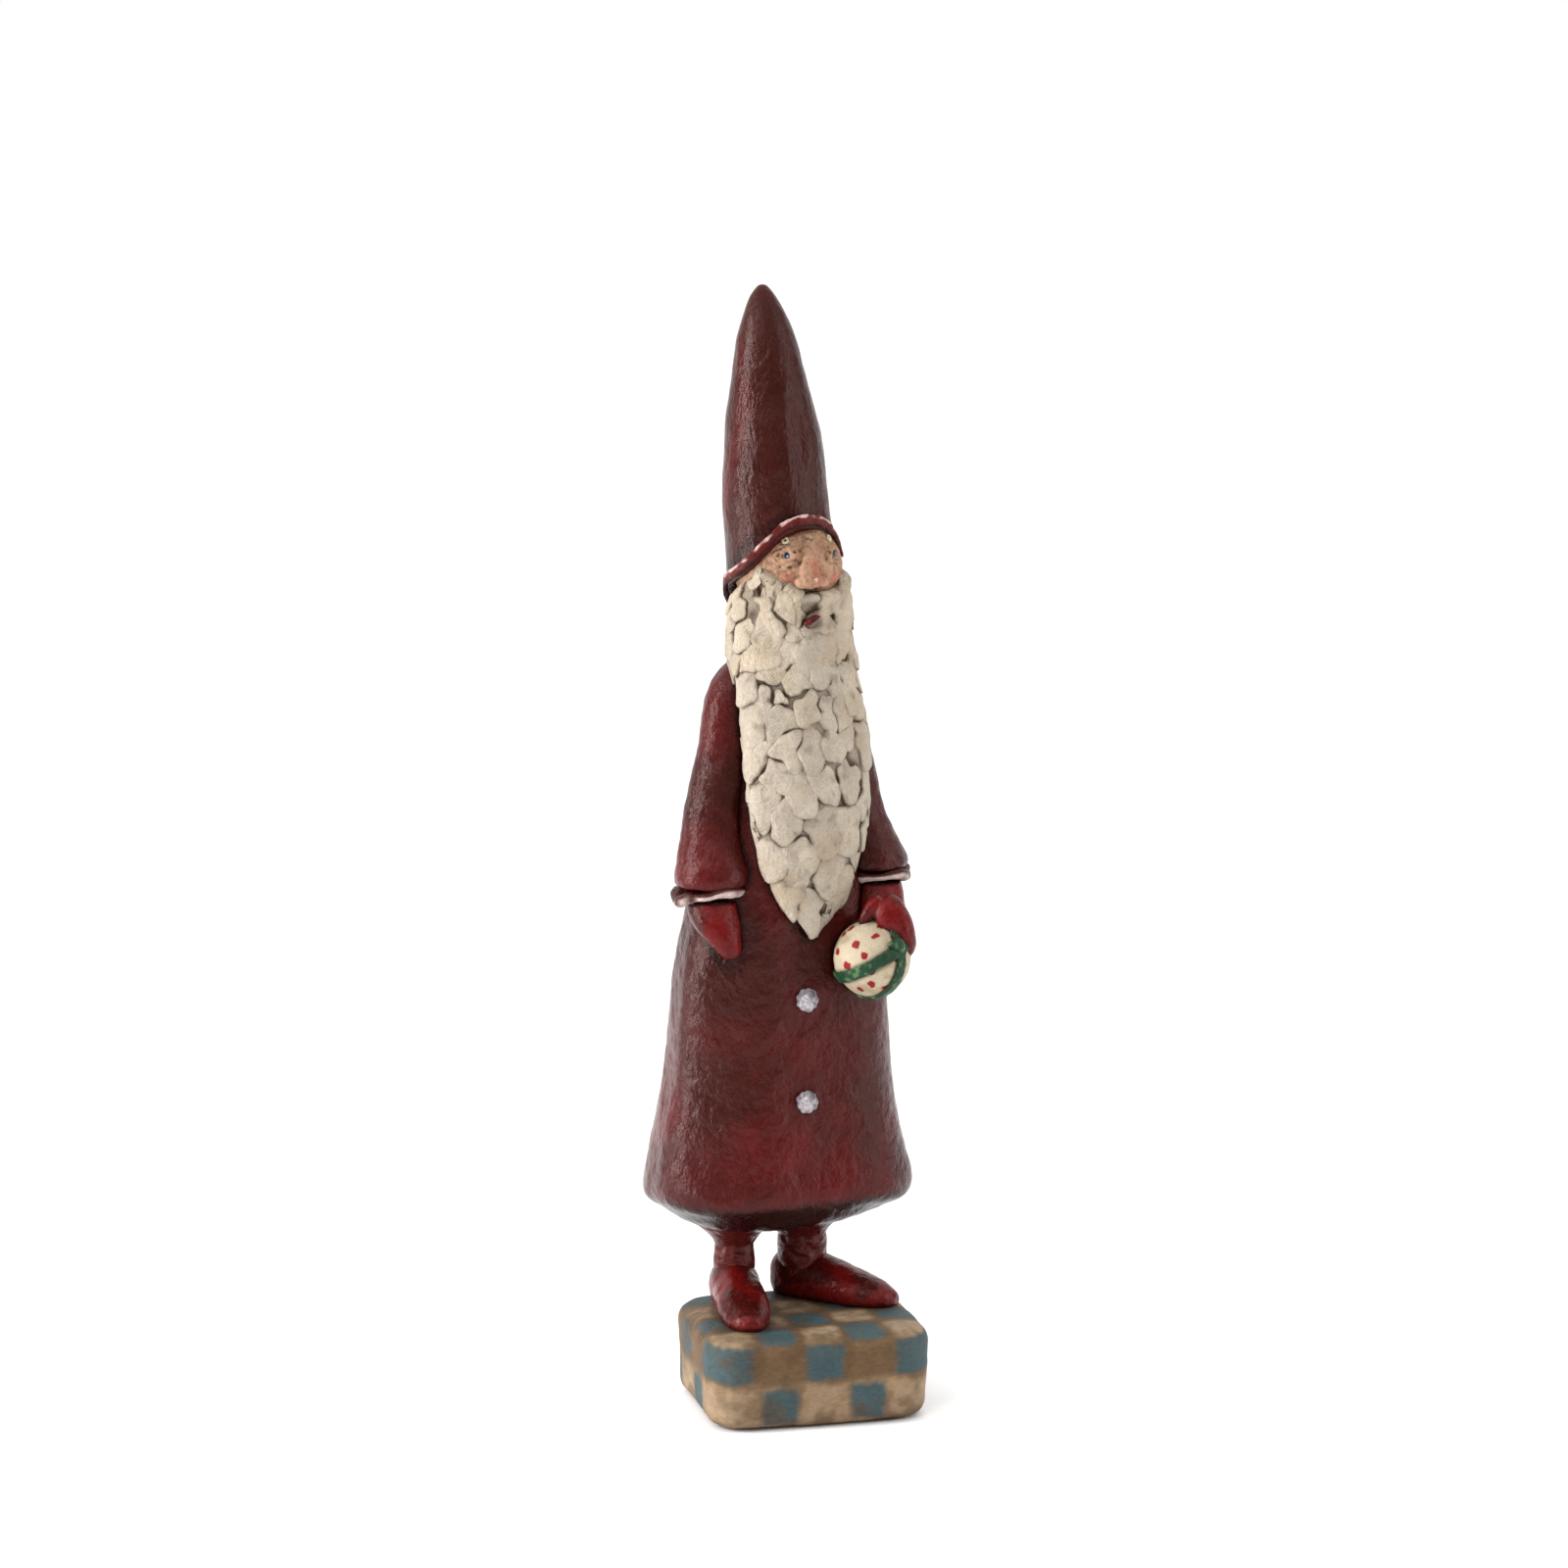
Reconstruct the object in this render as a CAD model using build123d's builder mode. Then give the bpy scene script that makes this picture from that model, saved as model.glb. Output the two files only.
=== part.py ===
"""A tall folk-style garden gnome on a rounded plinth, built as separate castings pinned together.

Millimetres, +Z up. The figure faces -Y and its own left hand is at +X. The origin is the centre of the
plinth's underside, on the surface that it stands on.
"""

import os
from math import cos, radians, sin, tan

from build123d import *

# ---------------------------------------------------------------- driving dimensions
TOTAL_HEIGHT = 247.5

# plinth: a rounded block, turned a little from the way the figure faces
PLINTH_WIDTH = 48.6
PLINTH_DEPTH = 40.6
PLINTH_TOP = 20.5
PLINTH_TURN = -13.0
PLINTH_CORNER = 7.5
PLINTH_TOP_ROUND = 3.6
PLINTH_FOOT_ROUND = 3.0
PLINTH_FLARE = 3.2
PAD_THICKNESS = 1.0
PAD_PROUD = 0.4
PAD_MARGIN = 4.0

# steel armature
ROD_DIAMETER = 2.4
ROD_BOTTOM = 6.0
ROD_TOP = 78.0
NECK_ROD_DIAMETER = 3.0
NECK_ROD_BOTTOM = 135.0
NECK_ROD_TOP = 214.0

# legs: ankle places, and the way each foot points, turned from -Y about +Z
ANKLE_RIGHT = (-10.2, 13.0)
ANKLE_LEFT = (7.0, 13.4)
FOOT_TURN_RIGHT = -17.0
FOOT_TURN_LEFT = 38.0
ANKLE_RADIUS_RIGHT = 4.3
ANKLE_RADIUS_LEFT = 5.4
SOCK_TOP = 36.6
HEM_UNDERSIDE = 45.2

# boots: along the foot from the ankle, half width, height of the middle above the sole, half height
FOOT_SECTIONS = [
    (-6.6, 1.8, 4.2, 2.8),
    (-4.6, 4.2, 4.4, 5.2),
    (0.6, 5.2, 4.2, 6.4),
    (5.8, 5.2, 3.4, 6.0),
    (11.0, 5.4, 2.6, 5.1),
    (16.2, 5.1, 1.8, 4.1),
    (20.6, 3.6, 1.2, 2.8),
    (23.0, 1.5, 1.0, 1.4),
]

# coat: height, centre x, centre y, half width, half depth
COAT_ROUNDNESS = 0.88
COAT_HEM_ROUND = 3.4
COAT_SECTIONS = [
    (HEM_UNDERSIDE, -3.2, 6.2, 31.2, 22.0),
    (61.0, -3.1, 6.2, 27.7, 19.6),
    (76.0, -3.0, 6.1, 25.1, 18.2),
    (91.0, -2.7, 6.0, 23.9, 17.2),
    (106.0, -2.6, 5.8, 21.9, 16.0),
    (121.0, -2.5, 5.6, 18.4, 14.4),
    (136.0, -2.4, 5.2, 15.3, 12.9),
    (151.0, -2.1, 4.8, 12.9, 11.4),
    (167.0, -1.6, 4.4, 9.4, 9.0),
]

# sleeves: height, centre x, centre y, radius
SLEEVE_RIGHT_SECTIONS = [
    (167.4, -11.4, 4.6, 2.2),
    (165.0, -12.9, 4.5, 4.2),
    (161.0, -14.7, 4.3, 5.3),
    (154.6, -16.5, 3.9, 5.3),
    (146.6, -17.9, 3.3, 5.5),
    (137.6, -19.8, 2.7, 6.1),
    (128.6, -21.1, 1.7, 6.9),
    (118.6, -22.2, 0.4, 7.6),
]
SLEEVE_LEFT_SECTIONS = [
    (167.0, 6.6, 4.6, 2.2),
    (164.6, 7.8, 4.4, 3.9),
    (161.0, 8.9, 4.1, 4.8),
    (154.6, 10.5, 3.5, 5.0),
    (146.6, 12.0, 2.6, 5.4),
    (137.6, 13.2, 1.4, 5.8),
    (128.6, 14.9, -0.4, 6.5),
    (120.2, 16.4, -2.4, 7.4),
]
CUFF_HEIGHT = 2.8
CUFF_PROUD = 1.0

# mittens: height, centre x, centre y, half width, half depth
MITTEN_RIGHT_SECTIONS = [
    (116.0, -22.0, -0.6, 5.8, 5.8),
    (111.5, -22.3, -2.6, 5.8, 5.3),
    (107.0, -21.9, -4.8, 4.7, 4.3),
    (103.0, -21.2, -6.4, 3.1, 2.9),
    (100.4, -20.8, -7.2, 1.2, 1.2),
]
MITTEN_LEFT_SECTIONS = [
    (118.0, 15.9, -3.4, 5.5, 5.5),
    (113.6, 15.5, -6.2, 5.8, 5.8),
    (109.4, 15.4, -9.8, 5.2, 5.8),
    (105.4, 15.8, -13.4, 4.0, 5.0),
    (102.4, 16.2, -15.0, 2.2, 2.8),
    (101.0, 16.3, -15.4, 0.9, 1.1),
]

# parcel: a ball tied with two bands of ribbon and a knot
BALL_CENTRE = (8.9, -16.0, 102.8)
BALL_RADIUS = 8.4
RIBBON_NORMALS = [(-0.41, 0.21, 0.88), (0.93, 0.32, -0.15)]
RIBBON_WIDTH = 2.3
RIBBON_PROUD = 0.45
KNOT_TOWARD = (0.23, -0.86, 0.45)
KNOT_RADIUS = 1.6

# buttons: centres, on the coat's front
BUTTONS = {"upper": (-4.6, -11.2, 93.9), "lower": (-5.3, -12.5, 71.7)}
BUTTON_RADIUS = 2.5

# head: a ball under the hat, with the face on its front
HEAD_CENTRE = (-1.0, 4.0, 186.5)
HEAD_RADIUS = 12.1
EYE_SPREAD = 5.7
EYE_RISE = 3.5
EYE_RADIUS = 1.2
BROW_SPREAD = 5.4
BROW_RISE = 6.7
BROW_RADIUS = 0.9
LIP_CENTRE = (-2.4, -9.0, 176.5)
NOSE_SECTIONS = [
    (182.4, -1.1, -9.4, 1.3, 1.0),
    (184.0, -1.1, -9.6, 2.1, 2.0),
    (186.0, -1.1, -9.4, 1.9, 2.1),
    (189.0, -1.1, -8.6, 1.5, 1.9),
    (192.0, -1.1, -7.6, 1.4, 1.7),
    (195.0, -1.1, -6.4, 1.2, 1.4),
]

# hat: height, centre x, centre y, radius
HAT_SECTIONS = [
    (168.0, -1.6, 4.7, 12.2),
    (177.0, -1.7, 4.8, 12.3),
    (186.0, -2.1, 5.0, 12.3),
    (194.0, -3.0, 5.4, 11.8),
    (202.0, -3.9, 5.9, 11.3),
    (210.0, -3.6, 6.3, 11.0),
    (218.0, -3.8, 6.8, 10.0),
    (226.0, -4.2, 7.2, 8.4),
    (234.0, -4.7, 7.6, 6.8),
    (240.0, -5.2, 7.9, 5.0),
    (244.0, -5.4, 8.1, 3.3),
    (246.6, -5.4, 8.3, 1.7),
    (TOTAL_HEIGHT, -5.4, 8.3, 0.6),
]
BRIM_MIDDLE = (-1.8, 5.0, 185.4)
BRIM_TILT = 45.0
BRIM_BAND = 1.9
BRIM_PROUD = 0.9

# beard and hair: height, centre x, centre y, half width, half depth
BEARD_SECTIONS = [
    (106.8, -3.4, -10.4, 1.4, 0.9),
    (112.0, -3.0, -10.1, 5.0, 2.9),
    (120.0, -2.7, -9.4, 10.2, 5.0),
    (129.0, -2.6, -8.8, 13.0, 6.8),
    (138.0, -2.5, -7.9, 14.6, 7.9),
    (147.0, -2.4, -6.4, 14.7, 8.8),
    (156.0, -2.3, -3.4, 14.4, 10.2),
    (165.0, -1.9, 0.8, 14.4, 12.2),
    (174.0, -1.2, 3.8, 13.7, 13.4),
    (183.0, -0.8, 4.2, 12.9, 13.2),
    (192.0, -1.0, 4.2, 12.3, 12.3),
    (201.0, -1.0, 4.2, 12.1, 12.1),
]
FACE_LEVEL = 181.5
FACE_HALF_TURN = 61.0


def save(part, label):
    """Name the solid and write it as its node's file."""
    part.label = label
    export_step(part, f"parts/{label}.step")


def lofted(sections):
    """A smooth form through horizontal ellipses: height, centre x, centre y, half width, half depth."""
    with BuildPart() as form:
        for height, x, y, half_width, half_depth in sections:
            with BuildSketch(Plane.XY.offset(height)):
                with Locations((x, y)):
                    Ellipse(half_width, half_depth)
        loft()
    return form.part


def straight_rod(start, end, diameter):
    """A round steel rod or pin between two points."""
    along = Vector(*end) - Vector(*start)
    with BuildPart() as rod:
        with BuildSketch(Plane(origin=start, z_dir=along)):
            Circle(diameter / 2)
        extrude(amount=along.length)
    return rod.part


def cut_by(form, *others):
    """The form with the room that other pieces take cut out of it."""
    with BuildPart() as made:
        add(form)
        for other in others:
            add(other, mode=Mode.SUBTRACT)
    return made.part


os.makedirs("parts", exist_ok=True)

# ---------------------------------------------------------------- plinth and the pad under it
plinth_plane = Plane.XY.rotated((0, 0, PLINTH_TURN))

with BuildPart() as plinth_pad:
    with BuildSketch(plinth_plane):
        RectangleRounded(
            PLINTH_WIDTH - 2 * PAD_MARGIN, PLINTH_DEPTH - 2 * PAD_MARGIN, PLINTH_CORNER - PAD_MARGIN / 2
        )
    extrude(amount=PAD_THICKNESS)

# ---------------------------------------------------------------- armature rods
feet = {
    "right": (ANKLE_RIGHT, FOOT_TURN_RIGHT, ANKLE_RADIUS_RIGHT),
    "left": (ANKLE_LEFT, FOOT_TURN_LEFT, ANKLE_RADIUS_LEFT),
}
leg_rods = {}
for side, (ankle, _, _) in feet.items():
    leg_rods[side] = straight_rod((*ankle, ROD_BOTTOM), (*ankle, ROD_TOP), ROD_DIAMETER)
neck_x = HEAD_CENTRE[0] - 0.8
neck_y = HEAD_CENTRE[1] + 1.0
neck_rod = straight_rod((neck_x, neck_y, NECK_ROD_BOTTOM), (neck_x, neck_y, NECK_ROD_TOP), NECK_ROD_DIAMETER)

with BuildPart() as plinth:
    with BuildSketch(plinth_plane.offset(PAD_PROUD)):
        RectangleRounded(PLINTH_WIDTH, PLINTH_DEPTH, PLINTH_CORNER)
    extrude(amount=PLINTH_TOP - PAD_PROUD, taper=-PLINTH_FLARE)
    fillet(plinth.faces().sort_by(Axis.Z)[-1].edges(), PLINTH_TOP_ROUND)
    fillet(plinth.faces().sort_by(Axis.Z)[0].edges(), PLINTH_FOOT_ROUND)
    add(plinth_pad.part, mode=Mode.SUBTRACT)
    add(leg_rods.values(), mode=Mode.SUBTRACT)


# ---------------------------------------------------------------- boots and legs
def boot(ankle, turn, rod):
    """A pointed boot, its sole flat on the plinth."""
    heading = Vector(sin(radians(turn)), -cos(radians(turn)), 0)
    sideways = Vector(cos(radians(turn)), sin(radians(turn)), 0)
    ground = Vector(*ankle, PLINTH_TOP)
    with BuildPart() as made:
        for along, half_width, middle, half_height in FOOT_SECTIONS:
            spot = ground + heading * along + Vector(0, 0, middle)
            with BuildSketch(Plane(origin=spot, x_dir=sideways, z_dir=heading)):
                Ellipse(half_width, half_height)
        loft()
        split(bisect_by=Plane.XY.offset(PLINTH_TOP), keep=Keep.TOP)
        add(rod, mode=Mode.SUBTRACT)
    return made.part


boots = {}
socks = {}
legs = {}
for side, (ankle, turn, thickness) in feet.items():
    boots[side] = boot(ankle, turn, leg_rods[side])
    sock_form = lofted(
        [
            (PLINTH_TOP + 4.0, *ankle, thickness * 0.98, thickness * 0.98),
            (PLINTH_TOP + 8.0, *ankle, thickness, thickness),
            (PLINTH_TOP + 11.0, *ankle, thickness * 1.06, thickness * 1.06),
            (PLINTH_TOP + 14.0, *ankle, thickness * 1.04, thickness * 1.04),
            (SOCK_TOP, *ankle, thickness * 0.92, thickness * 0.92),
        ]
    )
    socks[side] = cut_by(sock_form, boots[side], leg_rods[side])
    leg_form = lofted(
        [
            (SOCK_TOP, *ankle, thickness * 0.92, thickness * 0.92),
            (SOCK_TOP + 3.0, *ankle, thickness, thickness),
            (SOCK_TOP + 6.0, *ankle, thickness * 1.2, thickness * 1.16),
            (HEM_UNDERSIDE, *ankle, thickness * 1.6, thickness * 1.4),
        ]
    )
    legs[side] = cut_by(leg_form, leg_rods[side])

# ---------------------------------------------------------------- parcel: ball, ribbon and knot
with BuildPart() as ball:
    with Locations(BALL_CENTRE):
        Sphere(BALL_RADIUS)

# ---------------------------------------------------------------- coat
with BuildPart() as coat_form:
    for height, x, y, half_width, half_depth in COAT_SECTIONS:
        with BuildSketch(Plane.XY.offset(height)):
            with Locations((x, y)):
                RectangleRounded(2 * half_width, 2 * half_depth, COAT_ROUNDNESS * half_depth)
    loft()
    fillet(coat_form.faces().sort_by(Axis.Z)[0].edges(), COAT_HEM_ROUND)

# ---------------------------------------------------------------- sleeves, cuffs and mittens
sleeves = {}
cuffs = {}
for side, sections in (("right", SLEEVE_RIGHT_SECTIONS), ("left", SLEEVE_LEFT_SECTIONS)):
    sleeve_form = lofted([(height, x, y, radius, radius) for height, x, y, radius in sections])
    sleeves[side] = cut_by(sleeve_form, coat_form.part)
    wrist_height, wrist_x, wrist_y, wrist_radius = sections[-1]
    cuff_form = lofted(
        [
            (wrist_height - CUFF_HEIGHT, wrist_x, wrist_y, wrist_radius, wrist_radius),
            (wrist_height - CUFF_HEIGHT / 2, wrist_x, wrist_y, wrist_radius + CUFF_PROUD, wrist_radius + CUFF_PROUD),
            (wrist_height, wrist_x, wrist_y, wrist_radius + CUFF_PROUD / 2, wrist_radius + CUFF_PROUD / 2),
        ]
    )
    cuffs[side] = cut_by(cuff_form, coat_form.part)

# ---------------------------------------------------------------- parcel: ball, ribbon and knot
with BuildPart() as ball_form:
    with Locations(BALL_CENTRE):
        Sphere(BALL_RADIUS)

with BuildPart() as ribbon_form:
    for normal in RIBBON_NORMALS:
        with BuildSketch(Plane(origin=BALL_CENTRE, z_dir=normal)):
            Circle(BALL_RADIUS + RIBBON_PROUD)
        extrude(amount=RIBBON_WIDTH / 2, both=True)
    with Locations(BALL_CENTRE):
        Sphere(BALL_RADIUS + RIBBON_PROUD, mode=Mode.INTERSECT)
    add(ball_form.part, mode=Mode.SUBTRACT)

knot_centre = Vector(*BALL_CENTRE) + Vector(*KNOT_TOWARD).normalized() * (BALL_RADIUS + RIBBON_PROUD)
with BuildPart() as knot_form:
    with Locations(knot_centre):
        Sphere(KNOT_RADIUS)

knot = cut_by(knot_form.part, ball_form.part)
ribbon = cut_by(ribbon_form.part, coat_form.part, knot)
mittens = {}
mittens["right"] = cut_by(lofted(MITTEN_RIGHT_SECTIONS), coat_form.part, cuffs["right"])
mittens["left"] = cut_by(
    lofted(MITTEN_LEFT_SECTIONS), coat_form.part, cuffs["left"], ball_form.part, ribbon, knot
)

# ---------------------------------------------------------------- head and face
with BuildPart() as head_form:
    with Locations(HEAD_CENTRE):
        Sphere(HEAD_RADIUS)


def on_face(spread, rise):
    """A point on the front of the head, sideways and up from its centre."""
    forward = (HEAD_RADIUS**2 - spread**2 - rise**2) ** 0.5
    return Vector(*HEAD_CENTRE) + Vector(spread, -forward, rise)


eyes = {}
brows = {}
for side, way in (("right", -1), ("left", 1)):
    with BuildPart() as eye:
        with Locations(on_face(way * EYE_SPREAD, EYE_RISE)):
            Sphere(EYE_RADIUS)
    eyes[side] = eye.part
    with BuildPart() as brow:
        with Locations(on_face(way * BROW_SPREAD, BROW_RISE)):
            Sphere(BROW_RADIUS)
    brows[side] = brow.part

nose_form = lofted(NOSE_SECTIONS)
with BuildPart() as lip:
    with Locations(LIP_CENTRE):
        Sphere(1.6)

brim_plane = Plane(origin=BRIM_MIDDLE, z_dir=(0, sin(radians(BRIM_TILT)), cos(radians(BRIM_TILT))))

# ---------------------------------------------------------------- hat and its brim
with BuildPart() as hat_form:
    add(lofted([(height, x, y, radius, radius) for height, x, y, radius in HAT_SECTIONS]))
    split(bisect_by=brim_plane, keep=Keep.TOP)

brim_outside = [(height, x, y, radius + BRIM_PROUD, radius + BRIM_PROUD) for height, x, y, radius in HAT_SECTIONS]
with BuildPart() as hat_brim:
    add(lofted(brim_outside))
    split(bisect_by=brim_plane, keep=Keep.TOP)
    split(bisect_by=brim_plane.offset(BRIM_BAND), keep=Keep.BOTTOM)
    add(hat_form.part, mode=Mode.SUBTRACT)
    add(head_form.part, mode=Mode.SUBTRACT)

# ---------------------------------------------------------------- beard, running on as hair round the head
with BuildPart() as beard_form:
    add(lofted(BEARD_SECTIONS))
    split(bisect_by=brim_plane, keep=Keep.BOTTOM)
    with BuildSketch(Plane.XY.offset(FACE_LEVEL)):
        reach = 3 * HEAD_RADIUS
        side_reach = reach * tan(radians(FACE_HALF_TURN))
        middle_x, middle_y = HEAD_CENTRE[:2]
        with BuildLine():
            Polyline(
                (middle_x, middle_y),
                (middle_x - side_reach, middle_y - reach),
                (middle_x + side_reach, middle_y - reach),
                close=True,
            )
        make_face()
    extrude(amount=reach, mode=Mode.SUBTRACT)

beard = cut_by(
    beard_form.part, coat_form.part, *sleeves.values(), head_form.part, nose_form, lip.part, neck_rod, hat_brim.part
)

coat = cut_by(coat_form.part, *leg_rods.values(), neck_rod, ball_form.part)
head = cut_by(head_form.part, neck_rod, *eyes.values(), *brows.values())
nose = cut_by(nose_form, head_form.part, hat_form.part, hat_brim.part)
hat = cut_by(hat_form.part, head_form.part, neck_rod, *brows.values())

buttons = {}
for place, centre in BUTTONS.items():
    with BuildPart() as button:
        with Locations(centre):
            Sphere(BUTTON_RADIUS)
    buttons[place] = cut_by(button.part, coat_form.part)

# ---------------------------------------------------------------- write every piece
nodes = {
    "plinth": plinth.part,
    "plinth_pad": plinth_pad.part,
    "coat": coat,
    "neck_rod": neck_rod,
    "head": head,
    "nose": nose,
    "lip": lip.part,
    "hat": hat,
    "hat_brim": hat_brim.part,
    "beard": beard,
    "parcel_ball": ball_form.part,
    "parcel_ribbon": ribbon,
    "parcel_knot": knot,
}
for place, button in buttons.items():
    nodes[f"button_{place}"] = button
for name, pair in (
    ("leg_rod", leg_rods),
    ("boot", boots),
    ("sock", socks),
    ("leg", legs),
    ("sleeve", sleeves),
    ("cuff", cuffs),
    ("mitten", mittens),
    ("eye", eyes),
    ("brow", brows),
):
    for side, piece in pair.items():
        nodes[f"{name}_{side}"] = piece
for name, piece in nodes.items():
    save(piece, name)
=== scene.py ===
"""Looks of the garden gnome: each visible casting is a hand-painted clay piece on the CAD frame.

Shapes are worked out in millimetres and written to Blender in metres.
"""

import math
from itertools import product

import bmesh
import bpy
import numpy as np
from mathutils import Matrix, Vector
from mathutils.bvhtree import BVHTree


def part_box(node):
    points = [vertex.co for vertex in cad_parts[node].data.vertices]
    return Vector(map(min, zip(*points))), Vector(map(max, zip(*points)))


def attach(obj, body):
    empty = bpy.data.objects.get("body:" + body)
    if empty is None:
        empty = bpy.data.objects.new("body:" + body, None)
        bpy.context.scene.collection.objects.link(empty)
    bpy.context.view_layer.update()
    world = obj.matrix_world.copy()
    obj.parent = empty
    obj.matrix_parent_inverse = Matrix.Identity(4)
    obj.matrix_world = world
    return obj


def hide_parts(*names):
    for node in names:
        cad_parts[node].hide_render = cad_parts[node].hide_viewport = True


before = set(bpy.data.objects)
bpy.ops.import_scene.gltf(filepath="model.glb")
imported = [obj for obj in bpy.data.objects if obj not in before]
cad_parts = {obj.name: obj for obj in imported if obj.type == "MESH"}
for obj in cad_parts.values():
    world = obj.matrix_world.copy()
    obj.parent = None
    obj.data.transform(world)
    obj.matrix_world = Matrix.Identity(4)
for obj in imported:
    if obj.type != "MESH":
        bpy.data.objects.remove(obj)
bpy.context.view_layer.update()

MM = 0.001
PLINTH_TURN = math.radians(-13.0)
CAMERA_AZIMUTH = math.radians(-27.0)
SCREEN_RIGHT = np.array((math.cos(CAMERA_AZIMUTH), math.sin(CAMERA_AZIMUTH), 0))
SCREEN_NEAR = np.array((math.sin(CAMERA_AZIMUTH), -math.cos(CAMERA_AZIMUTH), 0))
UP = np.array((0.0, 0.0, 1.0))


# ---- numbers
def colour(red, green, blue):
    """A display colour, 0 to 255, as the linear colour that shaders use."""
    value = np.array([red, green, blue]) / 255.0
    return np.where(value <= 0.04045, value / 12.92, ((value + 0.055) / 1.055) ** 2.4)


def step(low, high, value):
    """0 below low, 1 above high, and smooth between."""
    share = np.clip((value - low) / (high - low), 0.0, 1.0)
    return share * share * (3.0 - 2.0 * share)


def blend(first, second, share):
    """Colours mixed point by point."""
    share = np.asarray(share)[:, None]
    return first * (1.0 - share) + second * share


def lattice(i, j, k, seed):
    """A repeatable number from -1 to 1 at each point of a whole-number grid."""
    n = (i * 73856093) ^ (j * 19349663) ^ (k * 83492791) ^ (seed * 26544357)
    n = ((n ^ (n >> 13)) * 1274126177) & 0x7FFFFFFF
    n = ((n ^ (n >> 15)) * 668265263) & 0x7FFFFFFF
    return ((n >> 8) & 0xFFFF) / 32767.5 - 1.0


LATTICE_TURN = np.array(((0.36, 0.48, -0.8), (-0.8, 0.6, 0.0), (0.48, 0.64, 0.6)))


def noise(points, size, seed=0, octaves=1):
    """Smooth noise from about -1 to 1, with bumps of the given size in millimetres."""
    total = np.zeros(len(points))
    for octave in range(octaves):
        points = points @ LATTICE_TURN
        place = points / (size / 2**octave)
        cell = np.floor(place).astype(np.int64)
        inside = place - cell
        weight = inside * inside * (3.0 - 2.0 * inside)
        for corner in product((0, 1), repeat=3):
            share = np.prod(np.where(corner, weight, 1.0 - weight), axis=1)
            spot = cell + corner
            total += share * lattice(spot[:, 0], spot[:, 1], spot[:, 2], seed + 31 * octave) / 2**octave
    return total


def full_turn(count):
    """Evenly spaced angles once round."""
    return np.linspace(0, 2 * math.pi, count, endpoint=False)


def all_over(base, points):
    """One colour at every point."""
    return np.tile(base, (len(points), 1))


def unit(vector):
    """The vector, or each row of vectors, at length 1."""
    vector = np.asarray(vector, float)
    return vector / (np.linalg.norm(vector, axis=-1, keepdims=True) + 1e-12)


def box(node):
    """A CAD node's low and high corners in millimetres."""
    low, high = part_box(node)
    return np.array(low) / MM, np.array(high) / MM


def middle(node):
    """The middle of a CAD node's box in millimetres."""
    low, high = box(node)
    return (low + high) / 2


# ---- meshes
def tree_of(*nodes):
    """A search tree over the faces of several CAD nodes, in millimetres."""
    corners = []
    faces = []
    for node in nodes:
        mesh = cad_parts[node].data
        first = len(corners)
        corners.extend(vertex.co / MM for vertex in mesh.vertices)
        faces.extend([first + index for index in face.vertices] for face in mesh.polygons)
    return BVHTree.FromPolygons(corners, faces)


def distance_to(tree, points, reach):
    """How far each point is from a tree's surface, up to reach."""
    found = np.full(len(points), float(reach))
    for index, point in enumerate(points):
        hit = tree.find_nearest(Vector(point), reach)
        if hit[3] is not None:
            found[index] = hit[3]
    return found


def blob(centre, radii, axis=(0, 0, 1)):
    """A lump to be fused into a skin: an ellipsoid whose third radius lies along axis."""
    turn = Vector(axis).to_track_quat("Z", "Y").to_matrix()
    lump = bmesh.new()
    bmesh.ops.create_icosphere(lump, subdivisions=4, radius=1.0)
    for vertex in lump.verts:
        scaled = Vector([value * radius for value, radius in zip(vertex.co, radii)])
        vertex.co = (turn @ scaled + Vector(centre)) * MM
    mesh = bpy.data.meshes.new("lump")
    lump.to_mesh(mesh)
    lump.free()
    return mesh


def turned(sections):
    """A closed lump to be fused into a skin, as stacked ellipses.

    Each is (centre x, centre y, height, half width, half depth).
    """
    sides = 40
    points = []
    faces = []
    for x, y, z, half_width, half_depth in sections:
        for turn in full_turn(sides):
            across, back = half_width * math.cos(turn), half_depth * math.sin(turn)
            points.append(((x + across) * MM, (y + back) * MM, z * MM))
    for ring in range(len(sections) - 1):
        for index in range(sides):
            low, after = ring * sides + index, ring * sides + (index + 1) % sides
            faces.append((low, after, after + sides, low + sides))
    faces.append(tuple(range(sides))[::-1])
    faces.append(tuple(range((len(sections) - 1) * sides, len(sections) * sides)))
    mesh = bpy.data.meshes.new("lump")
    mesh.from_pydata(points, [], faces)
    return mesh


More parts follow.
